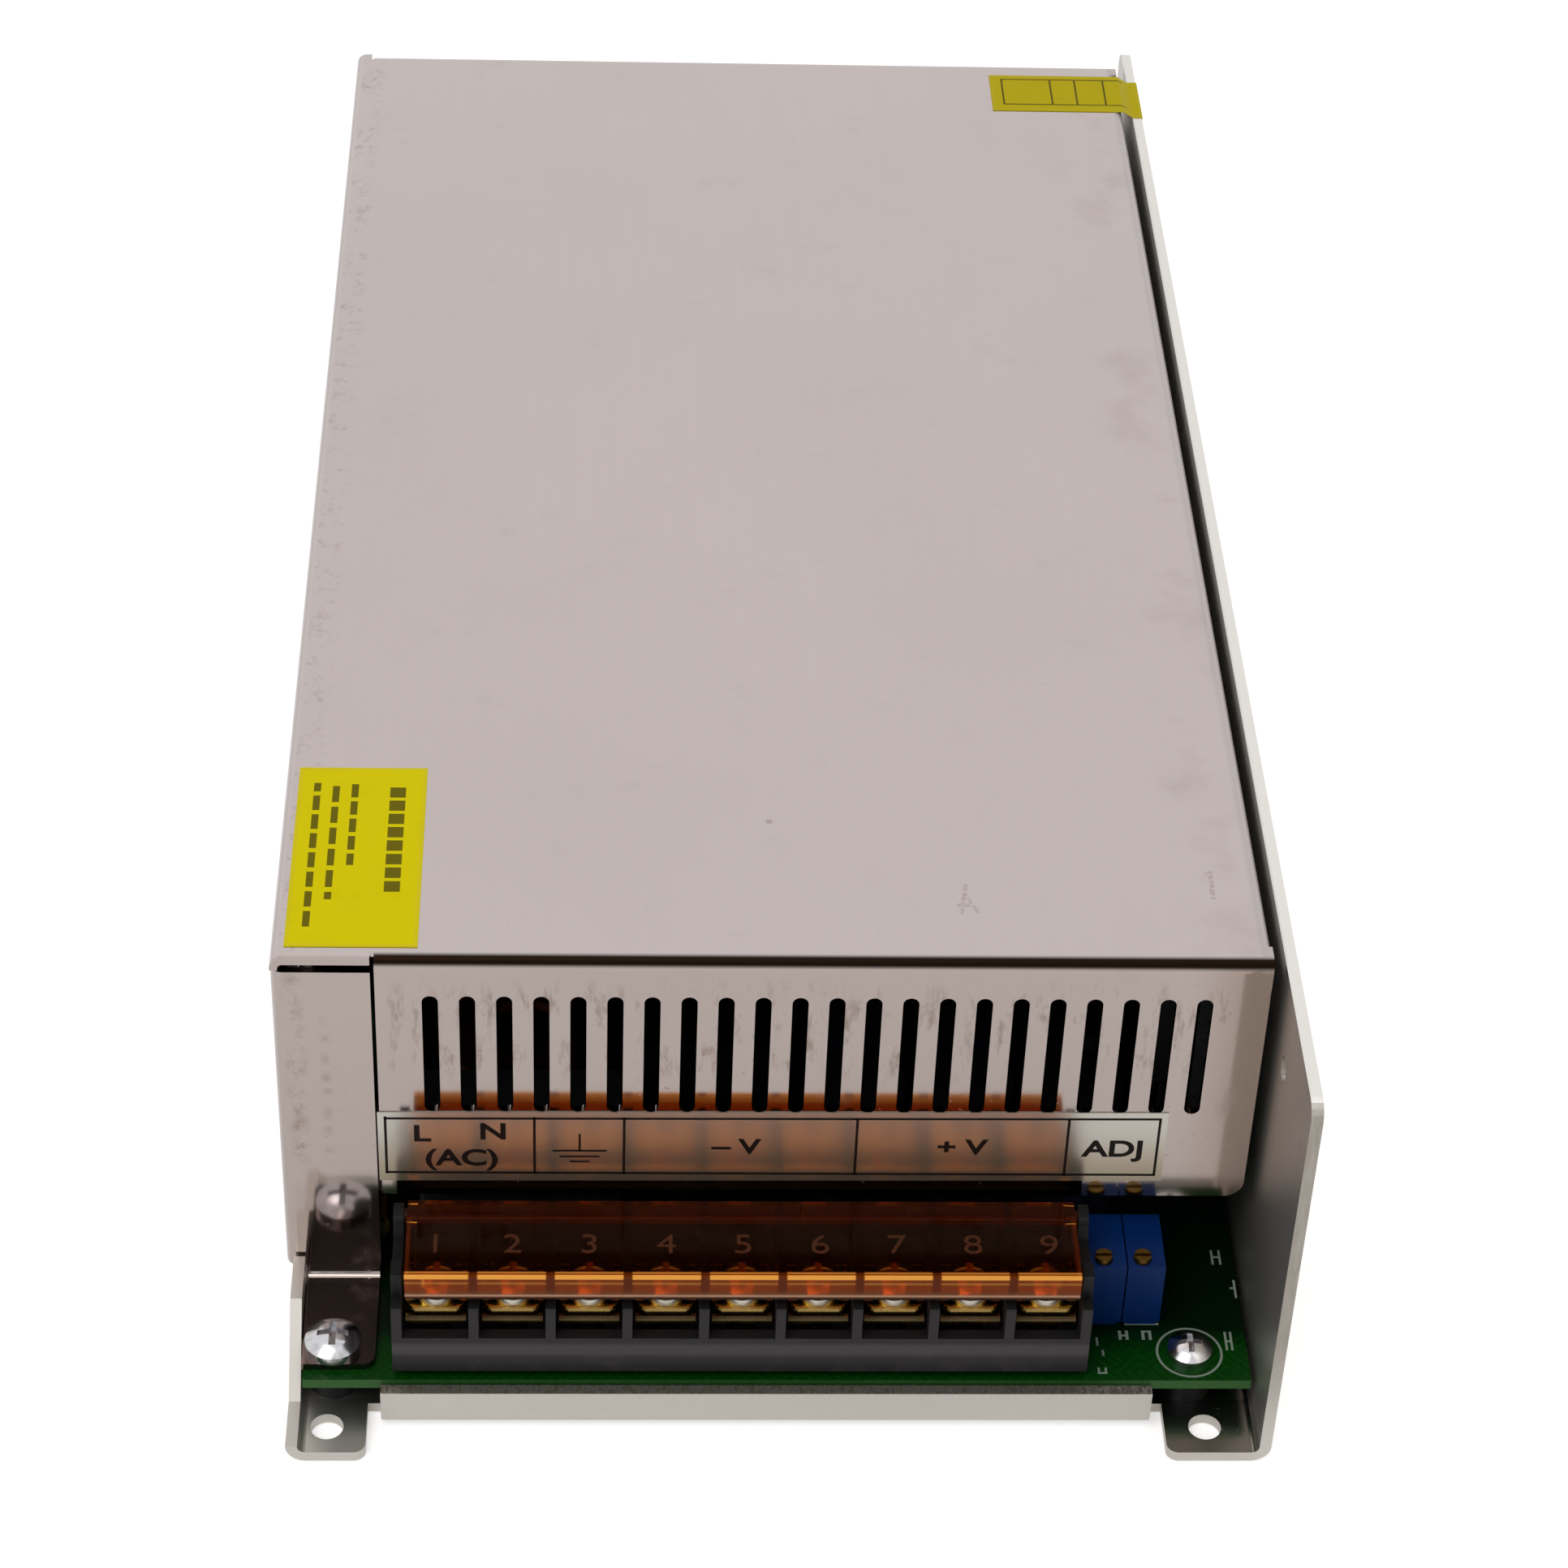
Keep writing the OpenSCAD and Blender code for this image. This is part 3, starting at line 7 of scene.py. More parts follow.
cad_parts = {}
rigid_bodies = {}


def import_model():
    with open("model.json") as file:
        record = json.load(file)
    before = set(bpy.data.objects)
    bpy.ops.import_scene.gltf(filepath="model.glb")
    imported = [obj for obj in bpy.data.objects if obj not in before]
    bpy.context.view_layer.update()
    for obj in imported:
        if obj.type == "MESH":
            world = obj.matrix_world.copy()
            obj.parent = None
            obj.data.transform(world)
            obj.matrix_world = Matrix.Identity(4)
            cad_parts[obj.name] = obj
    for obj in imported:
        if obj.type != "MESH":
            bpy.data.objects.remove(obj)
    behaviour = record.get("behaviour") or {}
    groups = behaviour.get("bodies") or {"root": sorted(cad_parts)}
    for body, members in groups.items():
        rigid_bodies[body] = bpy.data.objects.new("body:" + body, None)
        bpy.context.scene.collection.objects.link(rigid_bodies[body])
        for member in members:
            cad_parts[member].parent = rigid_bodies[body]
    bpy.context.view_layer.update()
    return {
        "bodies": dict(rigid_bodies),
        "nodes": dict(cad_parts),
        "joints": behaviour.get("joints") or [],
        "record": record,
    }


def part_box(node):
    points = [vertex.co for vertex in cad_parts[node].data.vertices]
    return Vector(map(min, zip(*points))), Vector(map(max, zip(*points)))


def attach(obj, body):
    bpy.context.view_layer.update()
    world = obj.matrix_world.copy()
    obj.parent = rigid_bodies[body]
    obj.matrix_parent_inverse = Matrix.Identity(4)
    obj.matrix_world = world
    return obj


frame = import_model()
nodes = frame["nodes"]
corner = Vector((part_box("chassis")[0][0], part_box("chassis")[0][1], 0))
print("frame loaded:", len(nodes), "nodes")


def at(x, y, z):                     # millimetres from the chassis's front left corner
    return corner + Vector((x, y, z)) / 1000


def span(name):                      # a node's lowest and highest corners, in those millimetres
    return [1000 * (point - corner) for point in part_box(name)]


def paint(red, green, blue):         # 0 to 255 as on a colour chart
    def part(v):
        v /= 255
        return v / 12.92 if v < 0.04045 else ((v + 0.055) / 1.055) ** 2.4
    return (part(red), part(green), part(blue), 1)


def shaded(colour, share):           # the same colour, darker
    return paint(*[v * share for v in colour])


class Wire:                          # a socket that sums can be written with
    def __init__(self, tree, socket):
        self.tree = tree
        self.socket = socket

    def sum(self, operation, *terms):
        return self.tree.add("ShaderNodeMath", {"operation": operation}, dict(enumerate(terms)))

    def __add__(self, other):
        return self.sum("ADD", self, other)

    def __radd__(self, other):
        return self.sum("ADD", other, self)

    def __sub__(self, other):
        return self.sum("SUBTRACT", self, other)

    def __rsub__(self, other):
        return self.sum("SUBTRACT", other, self)

    def __mul__(self, other):
        return self.sum("MULTIPLY", self, other)

    def __rmul__(self, other):
        return self.sum("MULTIPLY", other, self)

    def __gt__(self, other):
        return self.sum("GREATER_THAN", self, other)

    def __lt__(self, other):
        return self.sum("LESS_THAN", self, other)

    def __abs__(self):
        return self.sum("ABSOLUTE", self)

    def most(self, other):
        return self.sum("MAXIMUM", self, other)

    def least(self, other):
        return self.sum("MINIMUM", self, other)

    def repeat(self, step):          # runs from 0 to step again and again
        return self.sum("FLOORED_MODULO", self, step)

    def ramp(self, low, high, start=0.0, end=1.0):
        return self.tree.add("ShaderNodeMapRange", {"clamp": True, "interpolation_type": "SMOOTHSTEP"},
                             {"Value": self, "From Min": low, "From Max": high,
                              "To Min": start, "To Max": end})

    def inside(self, low, high, soft=0.05):
        return self.ramp(low - soft, low + soft) * self.ramp(high - soft, high + soft, 1, 0)


class Tree:                          # a node tree and the one way of adding to it
    def __init__(self, tree):
        self.tree = tree

    def feed(self, socket, value):
        if isinstance(value, Wire):
            self.tree.links.new(value.socket, socket)
        else:
            socket.default_value = value

    def add(self, kind, settings=None, sockets=None, out=0):
        node = self.tree.nodes.new(kind)
        for key, value in (settings or {}).items():
            setattr(node, key, value)
        for key, value in (sockets or {}).items():
            self.feed(node.inputs[key], value)
        return Wire(self, node.outputs[out])

    def rays(self, *kinds):          # 1 for a ray of any of these kinds
        path = self.add("ShaderNodeLightPath").socket.node
        seen = [Wire(self, path.outputs[f"Is {kind} Ray"]) for kind in kinds]
        either = seen[0]
        for other in seen[1:]:
            either = either.most(other)
        return either


class Look(Tree):                    # a material and its nodes
    def __init__(self, name, **values):
        self.material = bpy.data.materials.new(name)
        self.material.use_nodes = True
        super().__init__(self.material.node_tree)
        self.shader = self.tree.nodes["Principled BSDF"]
        self.spot = None
        for key, value in values.items():
            self.set(key.replace("_", " "), value)

    def set(self, name, value):
        self.feed(self.shader.inputs[name], value)

    def where(self):                 # millimetres from the chassis's corner
        if self.spot is None:
            place = self.add("ShaderNodeTexCoord", out="Object")
            place = self.add("ShaderNodeVectorMath", {"operation": "SUBTRACT"}, {0: place, 1: corner})
            self.spot = self.add("ShaderNodeVectorMath", {"operation": "SCALE"}, {0: place, "Scale": 1000})
        return self.spot

    def split(self, vector):
        parts = self.add("ShaderNodeSeparateXYZ", None, {0: vector}).socket.node
        return [Wire(self, out) for out in parts.outputs]

    def axes(self):
        return self.split(self.where())

    def facing(self):                # the surface's own normal, unbumped
        return self.split(self.add("ShaderNodeTexCoord", out="Normal"))

    def distance(self, place):       # millimetres from a point
        return self.add("ShaderNodeVectorMath", {"operation": "DISTANCE"}, {0: self.where(), 1: place}, 1)

    def noise(self, size, detail=2.0, rough=0.5, stretch=(1, 1, 1)):
        place = self.add("ShaderNodeVectorMath", {"operation": "MULTIPLY"}, {0: self.where(), 1: stretch})
        return self.add("ShaderNodeTexNoise", None,
                        {"Vector": place, "Scale": 1 / size, "Detail": detail, "Roughness": rough})

    def mix(self, factor, first, second):            # sockets 6 and 7 are its colours, output 2 their mix
        return self.add("ShaderNodeMix", {"data_type": "RGBA"}, {"Factor": factor, 6: first, 7: second}, 2)

    def over(self, factor, shade, rough, shine):     # a second, clouded shader on top of the first
        second = self.add("ShaderNodeBsdfPrincipled", None,
                          {"Base Color": shade, "Roughness": rough, "Specular IOR Level": shine})
        self.surface(self.add("ShaderNodeMixShader", None, {0: factor, 1: self.first(), 2: second}))

    def first(self):
        return Wire(self, self.shader.outputs[0])

    def surface(self, wire):
        self.feed(self.tree.nodes["Material Output"].inputs["Surface"], wire)

    def bump(self, height, depth, strength=1.0):     # depth in millimetres
        self.set("Normal", self.add("ShaderNodeBump", None,
                                    {"Strength": strength, "Distance": depth / 1000, "Height": height}))


def wear(look, *names):
    for name in names:
        for place in nodes[name].material_slots:
            place.material = look.material


def numbered(stem, count):
    return [f"{stem}_{i}" for i in range(1, count + 1)]


# sheet metal: both sheets share the rolled metal, and each has its own marks

rolledSheet = {"dirtAndDarkening": (112, 96, 80), "cloud": 45, "rolled": 1.6, "stain": 7, "specks": 1.1}


def sheetMetal(name, colour, rough):
    look = Look(name, Metallic=1.0)
    cloud = look.noise(rolledSheet["cloud"], 2, 0.5)
    rolled = look.noise(rolledSheet["rolled"], 3, 0.6, (1, 0.06, 1))
    stain = look.noise(rolledSheet["stain"], 4, 0.65, (1, 1, 0.5)).ramp(0.55, 0.8)
    specks = look.noise(rolledSheet["specks"], 3, 0.7).ramp(0.66, 0.76)
    shade = look.mix(cloud.ramp(0.3, 0.7) * 0.3, paint(*colour), shaded(colour, 0.96))
    shade = look.mix(rolled * 0.1, shade, shaded(colour, 0.86))
    shade = look.mix(stain * 0.14, shade, shaded(colour, 0.8))
    shade = look.mix(specks * 0.12, shade, paint(*rolledSheet["dirtAndDarkening"]))
    gloss = rough + 0.05 * cloud + 0.1 * stain + 0.25 * specks + 0.03 * rolled
    look.bump(look.noise(30, 1, 0.4) + 0.02 * rolled, 0.05, 0.3)
    return look, shade, gloss


# patches are left, right, foot and head; the scratches and the dot have their places on the top
coverSheet = {"metal": (194, 183, 180), "rough": 0.035, "scratch": (150, 138, 130), "bendShade": (30, 20, 14),
              "frontShade": (150, 130, 116), "tab": (84, 66, 58),
              "flange": 11.4, "touched": (0.9, 2.8, 29, 60), "dashed": (5.1, 6.0, 29, 54),
              "slotStreaked": (13, 119, 44, 58.5), "frontShadeFrom": 111, "frontShadeTo": 119.5,
              "cross": (84.3, 36.4), "hook": (115.6, 39), "dot": (60.5, 51.1, 63)}


def coverScratches(look):            # a crossed one, a hooked one and a dot on the top
    x, y = look.axes()[:2]
    dx, dy = x - coverSheet["cross"][0], y - coverSheet["cross"][1]
    cross = (abs(dx - dy * 0.16) < 0.28) * dy.inside(-2.8, 2.8)
    cross = cross + (abs(dx + dy * 0.42 - 0.6) < 0.26) * dy.inside(-2.6, 1.6)
    cross = cross + (abs(dy + 1.2) < 0.3) * dx.inside(-0.9, 1.1)
    dx, dy = x - coverSheet["hook"][0], y - coverSheet["hook"][1]
    hook = (abs(dx - dy * 0.04) < 0.3) * dy.inside(-2.4, 3)
    hook = hook + (abs(dy - 2.4) < 0.25) * dx.inside(-0.7, 0.4)
    dot = look.distance(coverSheet["dot"]) < 0.45
    broken = look.noise(0.5, 2, 0.6).ramp(0.35, 0.6)
    return ((cross + hook).least(1) * broken + dot).least(1)


def coverDirt(look, front, top, low, high):
    # finger marks down the flange; the panel darker in streaks round the slots, and the top darker along its
    # left end and its right edge
    x, y, z = look.axes()
    streakNoise = look.noise(2.2, 4, 0.75, (1, 1, 0.3)).ramp(0.5, 0.72)
    sway = 0.5 * look.noise(3, 1, 0.5)
    left, right, foot, head = coverSheet["touched"]
    fingers = (x + sway).inside(left, right, 0.9) * z.inside(foot, head, 2)
    fingers = fingers * look.noise(2.4, 4, 0.75).ramp(0.4, 0.75)
    left, right, foot, head = coverSheet["dashed"]
    dashes = (z + 5 * sway).repeat(3.1).inside(0.6, 1.9, 0.9) * look.noise(2.6, 2, 0.6).ramp(0.25, 0.6)
    fingers = fingers + (x + sway).inside(left, right, 0.6) * z.inside(foot, head, 2) * dashes * 0.6
    left, right, foot, head = coverSheet["slotStreaked"]
    slotStreaks = z.inside(foot, head, 2.5) * x.inside(left, right, 2)
    leftTopDarker = top * x.inside(low.x - 0.1, low.x + 4.4, 0.9)
    edge = top * x.inside(high.x - 9.9, high.x + 0.1, 4) * look.noise(14, 3, 0.6).ramp(0.5, 0.75)
    return (front * (fingers * 0.7 + slotStreaks * streakNoise * 0.55) + leftTopDarker * streakNoise * 0.3 + edge * 0.16).least(0.7)


def coverMetal():
    look, shade, gloss = sheetMetal("coverSheet", coverSheet["metal"], coverSheet["rough"])
    x, y, z = look.axes()
    low, high = span("cover")
    panel = span("terminal_legend")[1].y             # the strip's back lies on the slotted panel
    front = y.inside(panel - 0.6, panel + 0.6, 0.2)
    top = z > high.z - 0.1
    dirtAndDarkening = coverDirt(look, front, top, low, high)
    scratch = top * coverScratches(look)
    # painted shade: a dark line along the front top bend, in place of its dark reflection
    bendShade = abs(y - panel - 0.3).most(abs(z - high.z + 0.2)).ramp(1.2, 0.55) * (x > coverSheet["flange"])
    # painted highlight: the top's right bend turns non-metal, so it reads as a lit pale edge
    side = x.ramp(high.x - 1.8, high.x - 1.2) * z.ramp(high.z - 1.8, high.z - 1.4)
    # painted shade: the slotted panel darker all over, and darker still towards its right end
    frontShade = front * x.ramp(coverSheet["frontShadeFrom"], coverSheet["frontShadeTo"])
    # painted shade: the bent tab at the cover's foot coloured dark
    tab = (z < 12) * (y < 23)
    shade = look.mix(dirtAndDarkening, shade, paint(*rolledSheet["dirtAndDarkening"]))
    shade = look.mix(scratch * 0.6, shade, paint(*coverSheet["scratch"]))
    shade = look.mix(front * 0.3 + frontShade * 0.4, shade, paint(*coverSheet["frontShade"]))
    shade = look.mix(tab * 0.8, shade, paint(*coverSheet["tab"]))
    shade = look.mix(bendShade, shade, paint(*coverSheet["bendShade"]))
    look.set("Base Color", shade)
    look.set("Metallic", 1 - 0.95 * side * (1 - bendShade))
    look.set("Roughness", gloss + dirtAndDarkening * 0.35 + scratch * 0.2 + 0.35 * bendShade + 0.05 * tab)
    return look


# the front lip is given by the heights under and over its face, and where it ends behind
chassisSheet = {"metal": (202, 197, 190), "rough": 0.35, "grit": (62, 56, 36), "wallTopHighlight": (226, 223, 218),
                "cut": (120, 110, 96), "foot": (92, 100, 102), "base": 1.7, "wall": 123.4,
                "lip": (6.35, 6.6, 7.2), "wallTopHighlightFrom": 50, "footEnd": 9}


def chassisMetal():
    look, shade, gloss = sheetMetal("chassisSheet", chassisSheet["metal"], chassisSheet["rough"])
    x, y, z = look.axes()
    under, over, behind = chassisSheet["lip"]
    up = look.facing()[2] > 0.5
    ahead = look.facing()[1] < -0.4
    wall = x > chassisSheet["wall"]
    base = (z < chassisSheet["base"]) * up
    lip = (z > under) * (z < over) * (y < behind) * up
    grit = look.noise(0.9, 4, 0.75, (1, 0.6, 1)).ramp(0.35, 0.6)
    streak = look.noise(0.8, 3, 0.6, (1, 1, 0.15))
    # painted highlight: the wall's inner face near its top turns non-metal, so the slit under the cover's
    # edge reads lighter
    innerWallHighlight = x.inside(123.3, 123.7, 0.02) * y.inside(26, 244, 0.5) * z.ramp(58.5, 61.5)
    cut = ahead * wall * z.ramp(2, 22)
    # painted highlight: the upward faces of the right wall's top made pale
    wallTopHighlight = up * wall * (z > chassisSheet["wallTopHighlightFrom"])
    floor = base * x.ramp(60, 90)
    # painted shade: the base's front strip darker except at its left end
    foot = base * (y < chassisSheet["footEnd"]) * x.ramp(1.5, 7)
    shade = look.mix(lip * (0.35 + grit * 0.5), shade, paint(*chassisSheet["grit"]))
    shade = look.mix(wallTopHighlight * 0.8, shade, paint(*chassisSheet["wallTopHighlight"]))
    shade = look.mix(cut * (0.3 + 0.5 * streak), shade, paint(*chassisSheet["cut"]))
    shade = look.mix(foot * 0.55, shade, paint(*chassisSheet["foot"]))
    look.set("Base Color", shade)
    look.set("Metallic", 1 - 0.8 * innerWallHighlight)
    look.set("Roughness", (gloss + 0.3 * lip * grit - 0.16 * floor).most(0.05))
    return look


wear(coverMetal(), "cover")
wear(chassisMetal(), "chassis")
print("sheet metal done")


# screws and contacts

def plated(name, colour, rough, dull=0.75):
    look = Look(name, Metallic=1.0)
    patches = look.noise(1.2, 3, 0.6)
    look.set("Base Color", look.mix(patches.ramp(0.4, 0.7) * 0.5, paint(*colour), shaded(colour, dull)))
    look.set("Roughness", rough + 0.1 * patches)
    look.bump(look.noise(0.25, 2, 0.6), 0.006, 0.2)
    return look


contact = {"ridge": (206, 172, 60), "groove": (58, 46, 16), "upper": (204, 170, 92), "lower": (132, 112, 80),
           "step": 1.15, "upperEnd": 10.55, "lowerEnd": 10.4}


def ridgedBrass():                   # bright ridges across, dark between them, pale front edges
    look = Look("ridgedBrass", Metallic=1.0)
    y, z = look.axes()[1:]
    # painted highlights on the ridges and on the pale front edges, painted shade in the grooves between the
    # ridges
    ridge = (y + 0.15 * look.noise(2, 1, 0.5)).repeat(contact["step"]).inside(0.3, 0.75, 0.12)
    patches = look.noise(0.9, 3, 0.6)
    upper = (y < contact["upperEnd"]) * (z > 16.5)
    lower = (y < contact["lowerEnd"]) * (z > 15.1) * (z < 16)
    shade = look.mix(ridge, paint(*contact["groove"]), paint(*contact["ridge"]))
    shade = look.mix(upper, shade, paint(*contact["upper"]))
    look.set("Base Color", look.mix(lower, shade, paint(*contact["lower"])))
    look.set("Metallic", 1 - 0.8 * (upper + lower))
    look.set("Roughness", 0.2 + 0.15 * patches)
    look.bump(ridge + 0.2 * patches, 0.08, 0.4)
    return look


wear(plated("zincSteel", (206, 205, 208), 0.14), "board_screws", "tab_screw", "cover_screws",
     "device_screws", "heat_sink_screws", "fan_screws")
# painted shade: the board posts coloured dark for the shadow under the board
wear(plated("shadedPostSteel", (46, 48, 48), 0.5), "board_posts")
wear(plated("nickelSteel", (216, 208, 192), 0.14), *numbered("terminal_screw", 9))
wear(ridgedBrass(), *numbered("clamp_washer", 9), "terminal_plates")
wear(plated("yellowBrass", (206, 164, 62), 0.18), "fuse_clips")
wear(plated("dullBrass", (128, 98, 44), 0.32), *numbered("trimmer_screw", 2))
print("screws and contacts done")


# plastics and the parts on the board

def moulded(name, colour, rough=0.45, shine=0.5):
    look = Look(name, Specular_IOR_Level=shine)
    cloud = look.noise(9, 3, 0.6)
    faded = paint(*[min(255, v * 0.78 + 8) for v in colour])
    look.set("Base Color", look.mix(cloud.ramp(0.35, 0.7) * 0.25, paint(*colour), faded))
    look.set("Roughness", rough + 0.12 * (cloud - 0.5))
    look.bump(look.noise(0.2, 2, 0.6), 0.02, 0.2)
    return look


block = {"deep": (8, 8, 10), "front": (36, 32, 35), "dust": (62, 56, 60), "rim": (84, 80, 80),
         "top": (3, 3, 3), "shine": 0.25}


def blockPlastic():                  # black, its front dull grey with dust, its upward faces darkest
    look = Look("blockPlastic", Specular_IOR_Level=block["shine"])
    z = look.axes()[2]
    dust = look.noise(6, 3, 0.6)
    below = z.ramp(20.5, 18.5)       # under the flip cover's edge
    up = look.facing()[2] > 0.7
    # painted shade: deep black below about 10 mm and under the flip cover
    shade = look.mix((z + dust).ramp(9.2, 11.5) * below, paint(*block["deep"]), paint(*block["front"]))
    shade = look.mix(dust.ramp(0.5, 0.75) * below * 0.3, shade, paint(*block["dust"]))
    shade = look.mix((z + 0.3 * dust).inside(11.4, 13.4, 0.5) * 0.5, shade, paint(*block["rim"]))
    # painted shade: the upward faces nearly black
    look.set("Base Color", look.mix(up * 0.85, shade, paint(*block["top"])))
    look.set("Roughness", (0.4 + 0.15 * dust + 0.3 * up).least(0.9))
    look.bump(look.noise(0.2, 2, 0.6), 0.02, 0.2)
    return look


fuse = {"cap": (206, 200, 190), "glass": (222, 224, 220), "capLength": 5}


def fuseGlass():                     # glass tube between two caps
    look = Look("fuseBody", Roughness=0.18)
    y = look.axes()[1]
    low, high = span("fuse")
    caps = (y < low.y + fuse["capLength"]) + (y > high.y - fuse["capLength"])
    look.set("Base Color", look.mix(caps, paint(*fuse["glass"]), paint(*fuse["cap"])))
    look.set("Metallic", caps)
    look.bump(look.noise(0.5, 2, 0.5), 0.01, 0.2)
    return look


can = {"sleeve": (22, 26, 44), "worn": (34, 40, 62), "top": (44, 44, 46), "rim": 0.35}


def canSleeve(name, node):           # sleeve round an aluminium top
    look = Look(name)
    bare = look.axes()[2] > span(node)[1].z - can["rim"]
    stripe = look.noise(6, 2, 0.5)
    shade = look.mix(stripe.ramp(0.4, 0.7) * 0.3, paint(*can["sleeve"]), paint(*can["worn"]))
    look.set("Base Color", look.mix(bare, shade, paint(*can["top"])))
    look.set("Metallic", bare)
    look.set("Roughness", 0.3 + 0.1 * stripe + 0.3 * bare)
    look.bump(look.noise(0.4, 2, 0.6), 0.01, 0.2)
    return look


wear(blockPlastic(), "terminal_block")
wear(moulded("trimmerBlue", (2, 40, 98), 0.4, 0.2), "trimmer_bodies")
wear(moulded("fanPlastic", (30, 30, 32), 0.5), "fan_frame", "selector_body")
wear(moulded("bladePlastic", (40, 40, 43), 0.42), "fan_rotor")
wear(moulded("leadSheath", (28, 28, 30), 0.4), "fan_lead")
wear(moulded("epoxyBlack", (32, 32, 34), 0.4), "bridge_rectifier", "control_chip", "power_devices")
wear(moulded("boxGrey", (34, 36, 40), 0.4), "line_capacitors")
wear(moulded("discGreen", (38, 70, 56)), "thermistor")
wear(moulded("switchRed", (190, 36, 28), 0.35), "selector_slider")
wear(moulded("filmPlate", (70, 72, 70), 0.4), "insulation_sheet")
wear(moulded("tapeYellow", (120, 98, 30), 0.4), "transformer_winding", "driver_transformer")
wear(moulded("ferrite", (50, 50, 54), 0.55), "transformer_core")
wear(plated("copperWire", (70, 38, 20), 0.45), "line_chokes", "output_inductor")
wear(plated("sinkAluminium", (70, 70, 74), 0.4), "heat_sink_bar")
wear(fuseGlass(), "fuse")
wear(canSleeve("bulkSleeve", "bulk_capacitors"), "bulk_capacitors")
wear(canSleeve("outputSleeve", "output_capacitors"), "output_capacitors")
print("plastics done")


# circuit board: marks are printed strokes, each as left, right, near and far side

board = {"mask": (2, 54, 4), "trace": (6, 72, 10), "rearShadow": (2, 12, 5), "bare": (70, 112, 62),
         "print": (168, 178, 168), "ring": (115.3, 12, 7.1), "ringRadius": (4.0, 4.3),
         "besideBlock": ((106.4, 106.8, 14.2, 15.8), (107.3, 107.7, 14.2, 15.8), (106.8, 107.4, 14.8, 15.1),
                         (109.4, 109.8, 14.2, 15.8), (110.3, 110.7, 14.2, 15.8), (109.8, 110.4, 15.5, 15.8)),
         "besideWall": ((119.9, 120.2, 27.6, 30.2), (120.9, 121.2, 27.6, 30.2), (120.2, 120.9, 28.8, 29.1),
                        (122.3, 122.6, 21.6, 24.8), (121.8, 122.3, 23.2, 23.5)),
         "besideScrew": ((120.1, 120.4, 12.4, 15.6), (120.8, 121.1, 12.4, 15.6), (120.4, 120.8, 13.8, 14.1),
                         (103.2, 103.5, 8.3, 9.4), (104.1, 104.4, 8.3, 9.4), (103.5, 104.1, 8.3, 8.6),
                         (103.4, 103.7, 13.2, 14.6), (104.0, 104.3, 11.4, 12.4))}


def boardGreen():
    look = Look("boardGreen", Specular_IOR_Level=0.12)
    x, y, z = look.axes()
    high = span("circuit_board")[1].z
    top = z > high - 0.01
    # tracks run at right angles, in steps, like those of a routed board
    cell = look.add("ShaderNodeTexVoronoi", {"feature": "F1", "distance": "MANHATTAN"},
                    {"Vector": look.where(), "Scale": 0.16, "Randomness": 0.7})
    tracks = (cell.repeat(0.22) < 0.07) * top
    # painted shadow: the board darker towards the back, under the cover
    rearShadow = (y + 2 * look.noise(7, 2, 0.5)).ramp(12, 18)
    cut = (z < high - 0.1) * (y < 8)                 # the sawn front edge
    marks = look.distance(board["ring"]).inside(*board["ringRadius"], 0.06)
    marks = marks + x.inside(107.4, 111.8) * y.inside(16.8, 17.15)
    for left, right, near, far in board["besideBlock"] + board["besideWall"] + board["besideScrew"]:
        marks = marks + x.inside(left, right, 0.03) * y.inside(near, far, 0.03)
    printed = marks.least(1) * top
    shade = look.mix(tracks * 0.5, paint(*board["mask"]), paint(*board["trace"]))
    shade = look.mix(rearShadow * 0.9, shade, paint(*board["rearShadow"]))
    # painted highlight: the sawn edge paler towards its two ends
    ends = 0.4 * x.ramp(100, 110) + 0.4 * x.ramp(16, 10)
    shade = look.mix(cut * (ends + 0.35), shade, paint(*board["bare"]))
    look.set("Base Color", look.mix(printed * 0.6, shade, paint(*board["print"])))
    look.set("Roughness", 0.24 + 0.2 * printed + 0.08 * look.noise(6, 2, 0.5))
    look.bump(tracks + 0.3 * look.noise(0.3, 2, 0.6), 0.03, 0.3)
    return look


wear(boardGreen(), "circuit_board")
print("circuit board done")


# flip cover: clear plastic, clouded where light gathers in its lip, frame and ends, with painted highlights
# and painted shade on the lip

amber = {"tint": (196, 118, 38), "cloud": (184, 104, 30), "lip": (194, 80, 0), "line": (255, 176, 76),
         "rim": (170, 108, 66), "gap": (96, 28, 2), "foot": (214, 170, 140), "under": (34, 16, 8),
         "rear": (120, 16, 6), "web": 0.55, "end": 1.2, "frame": (8.4, 18.4), "rough": 0.4, "shine": 0.1}


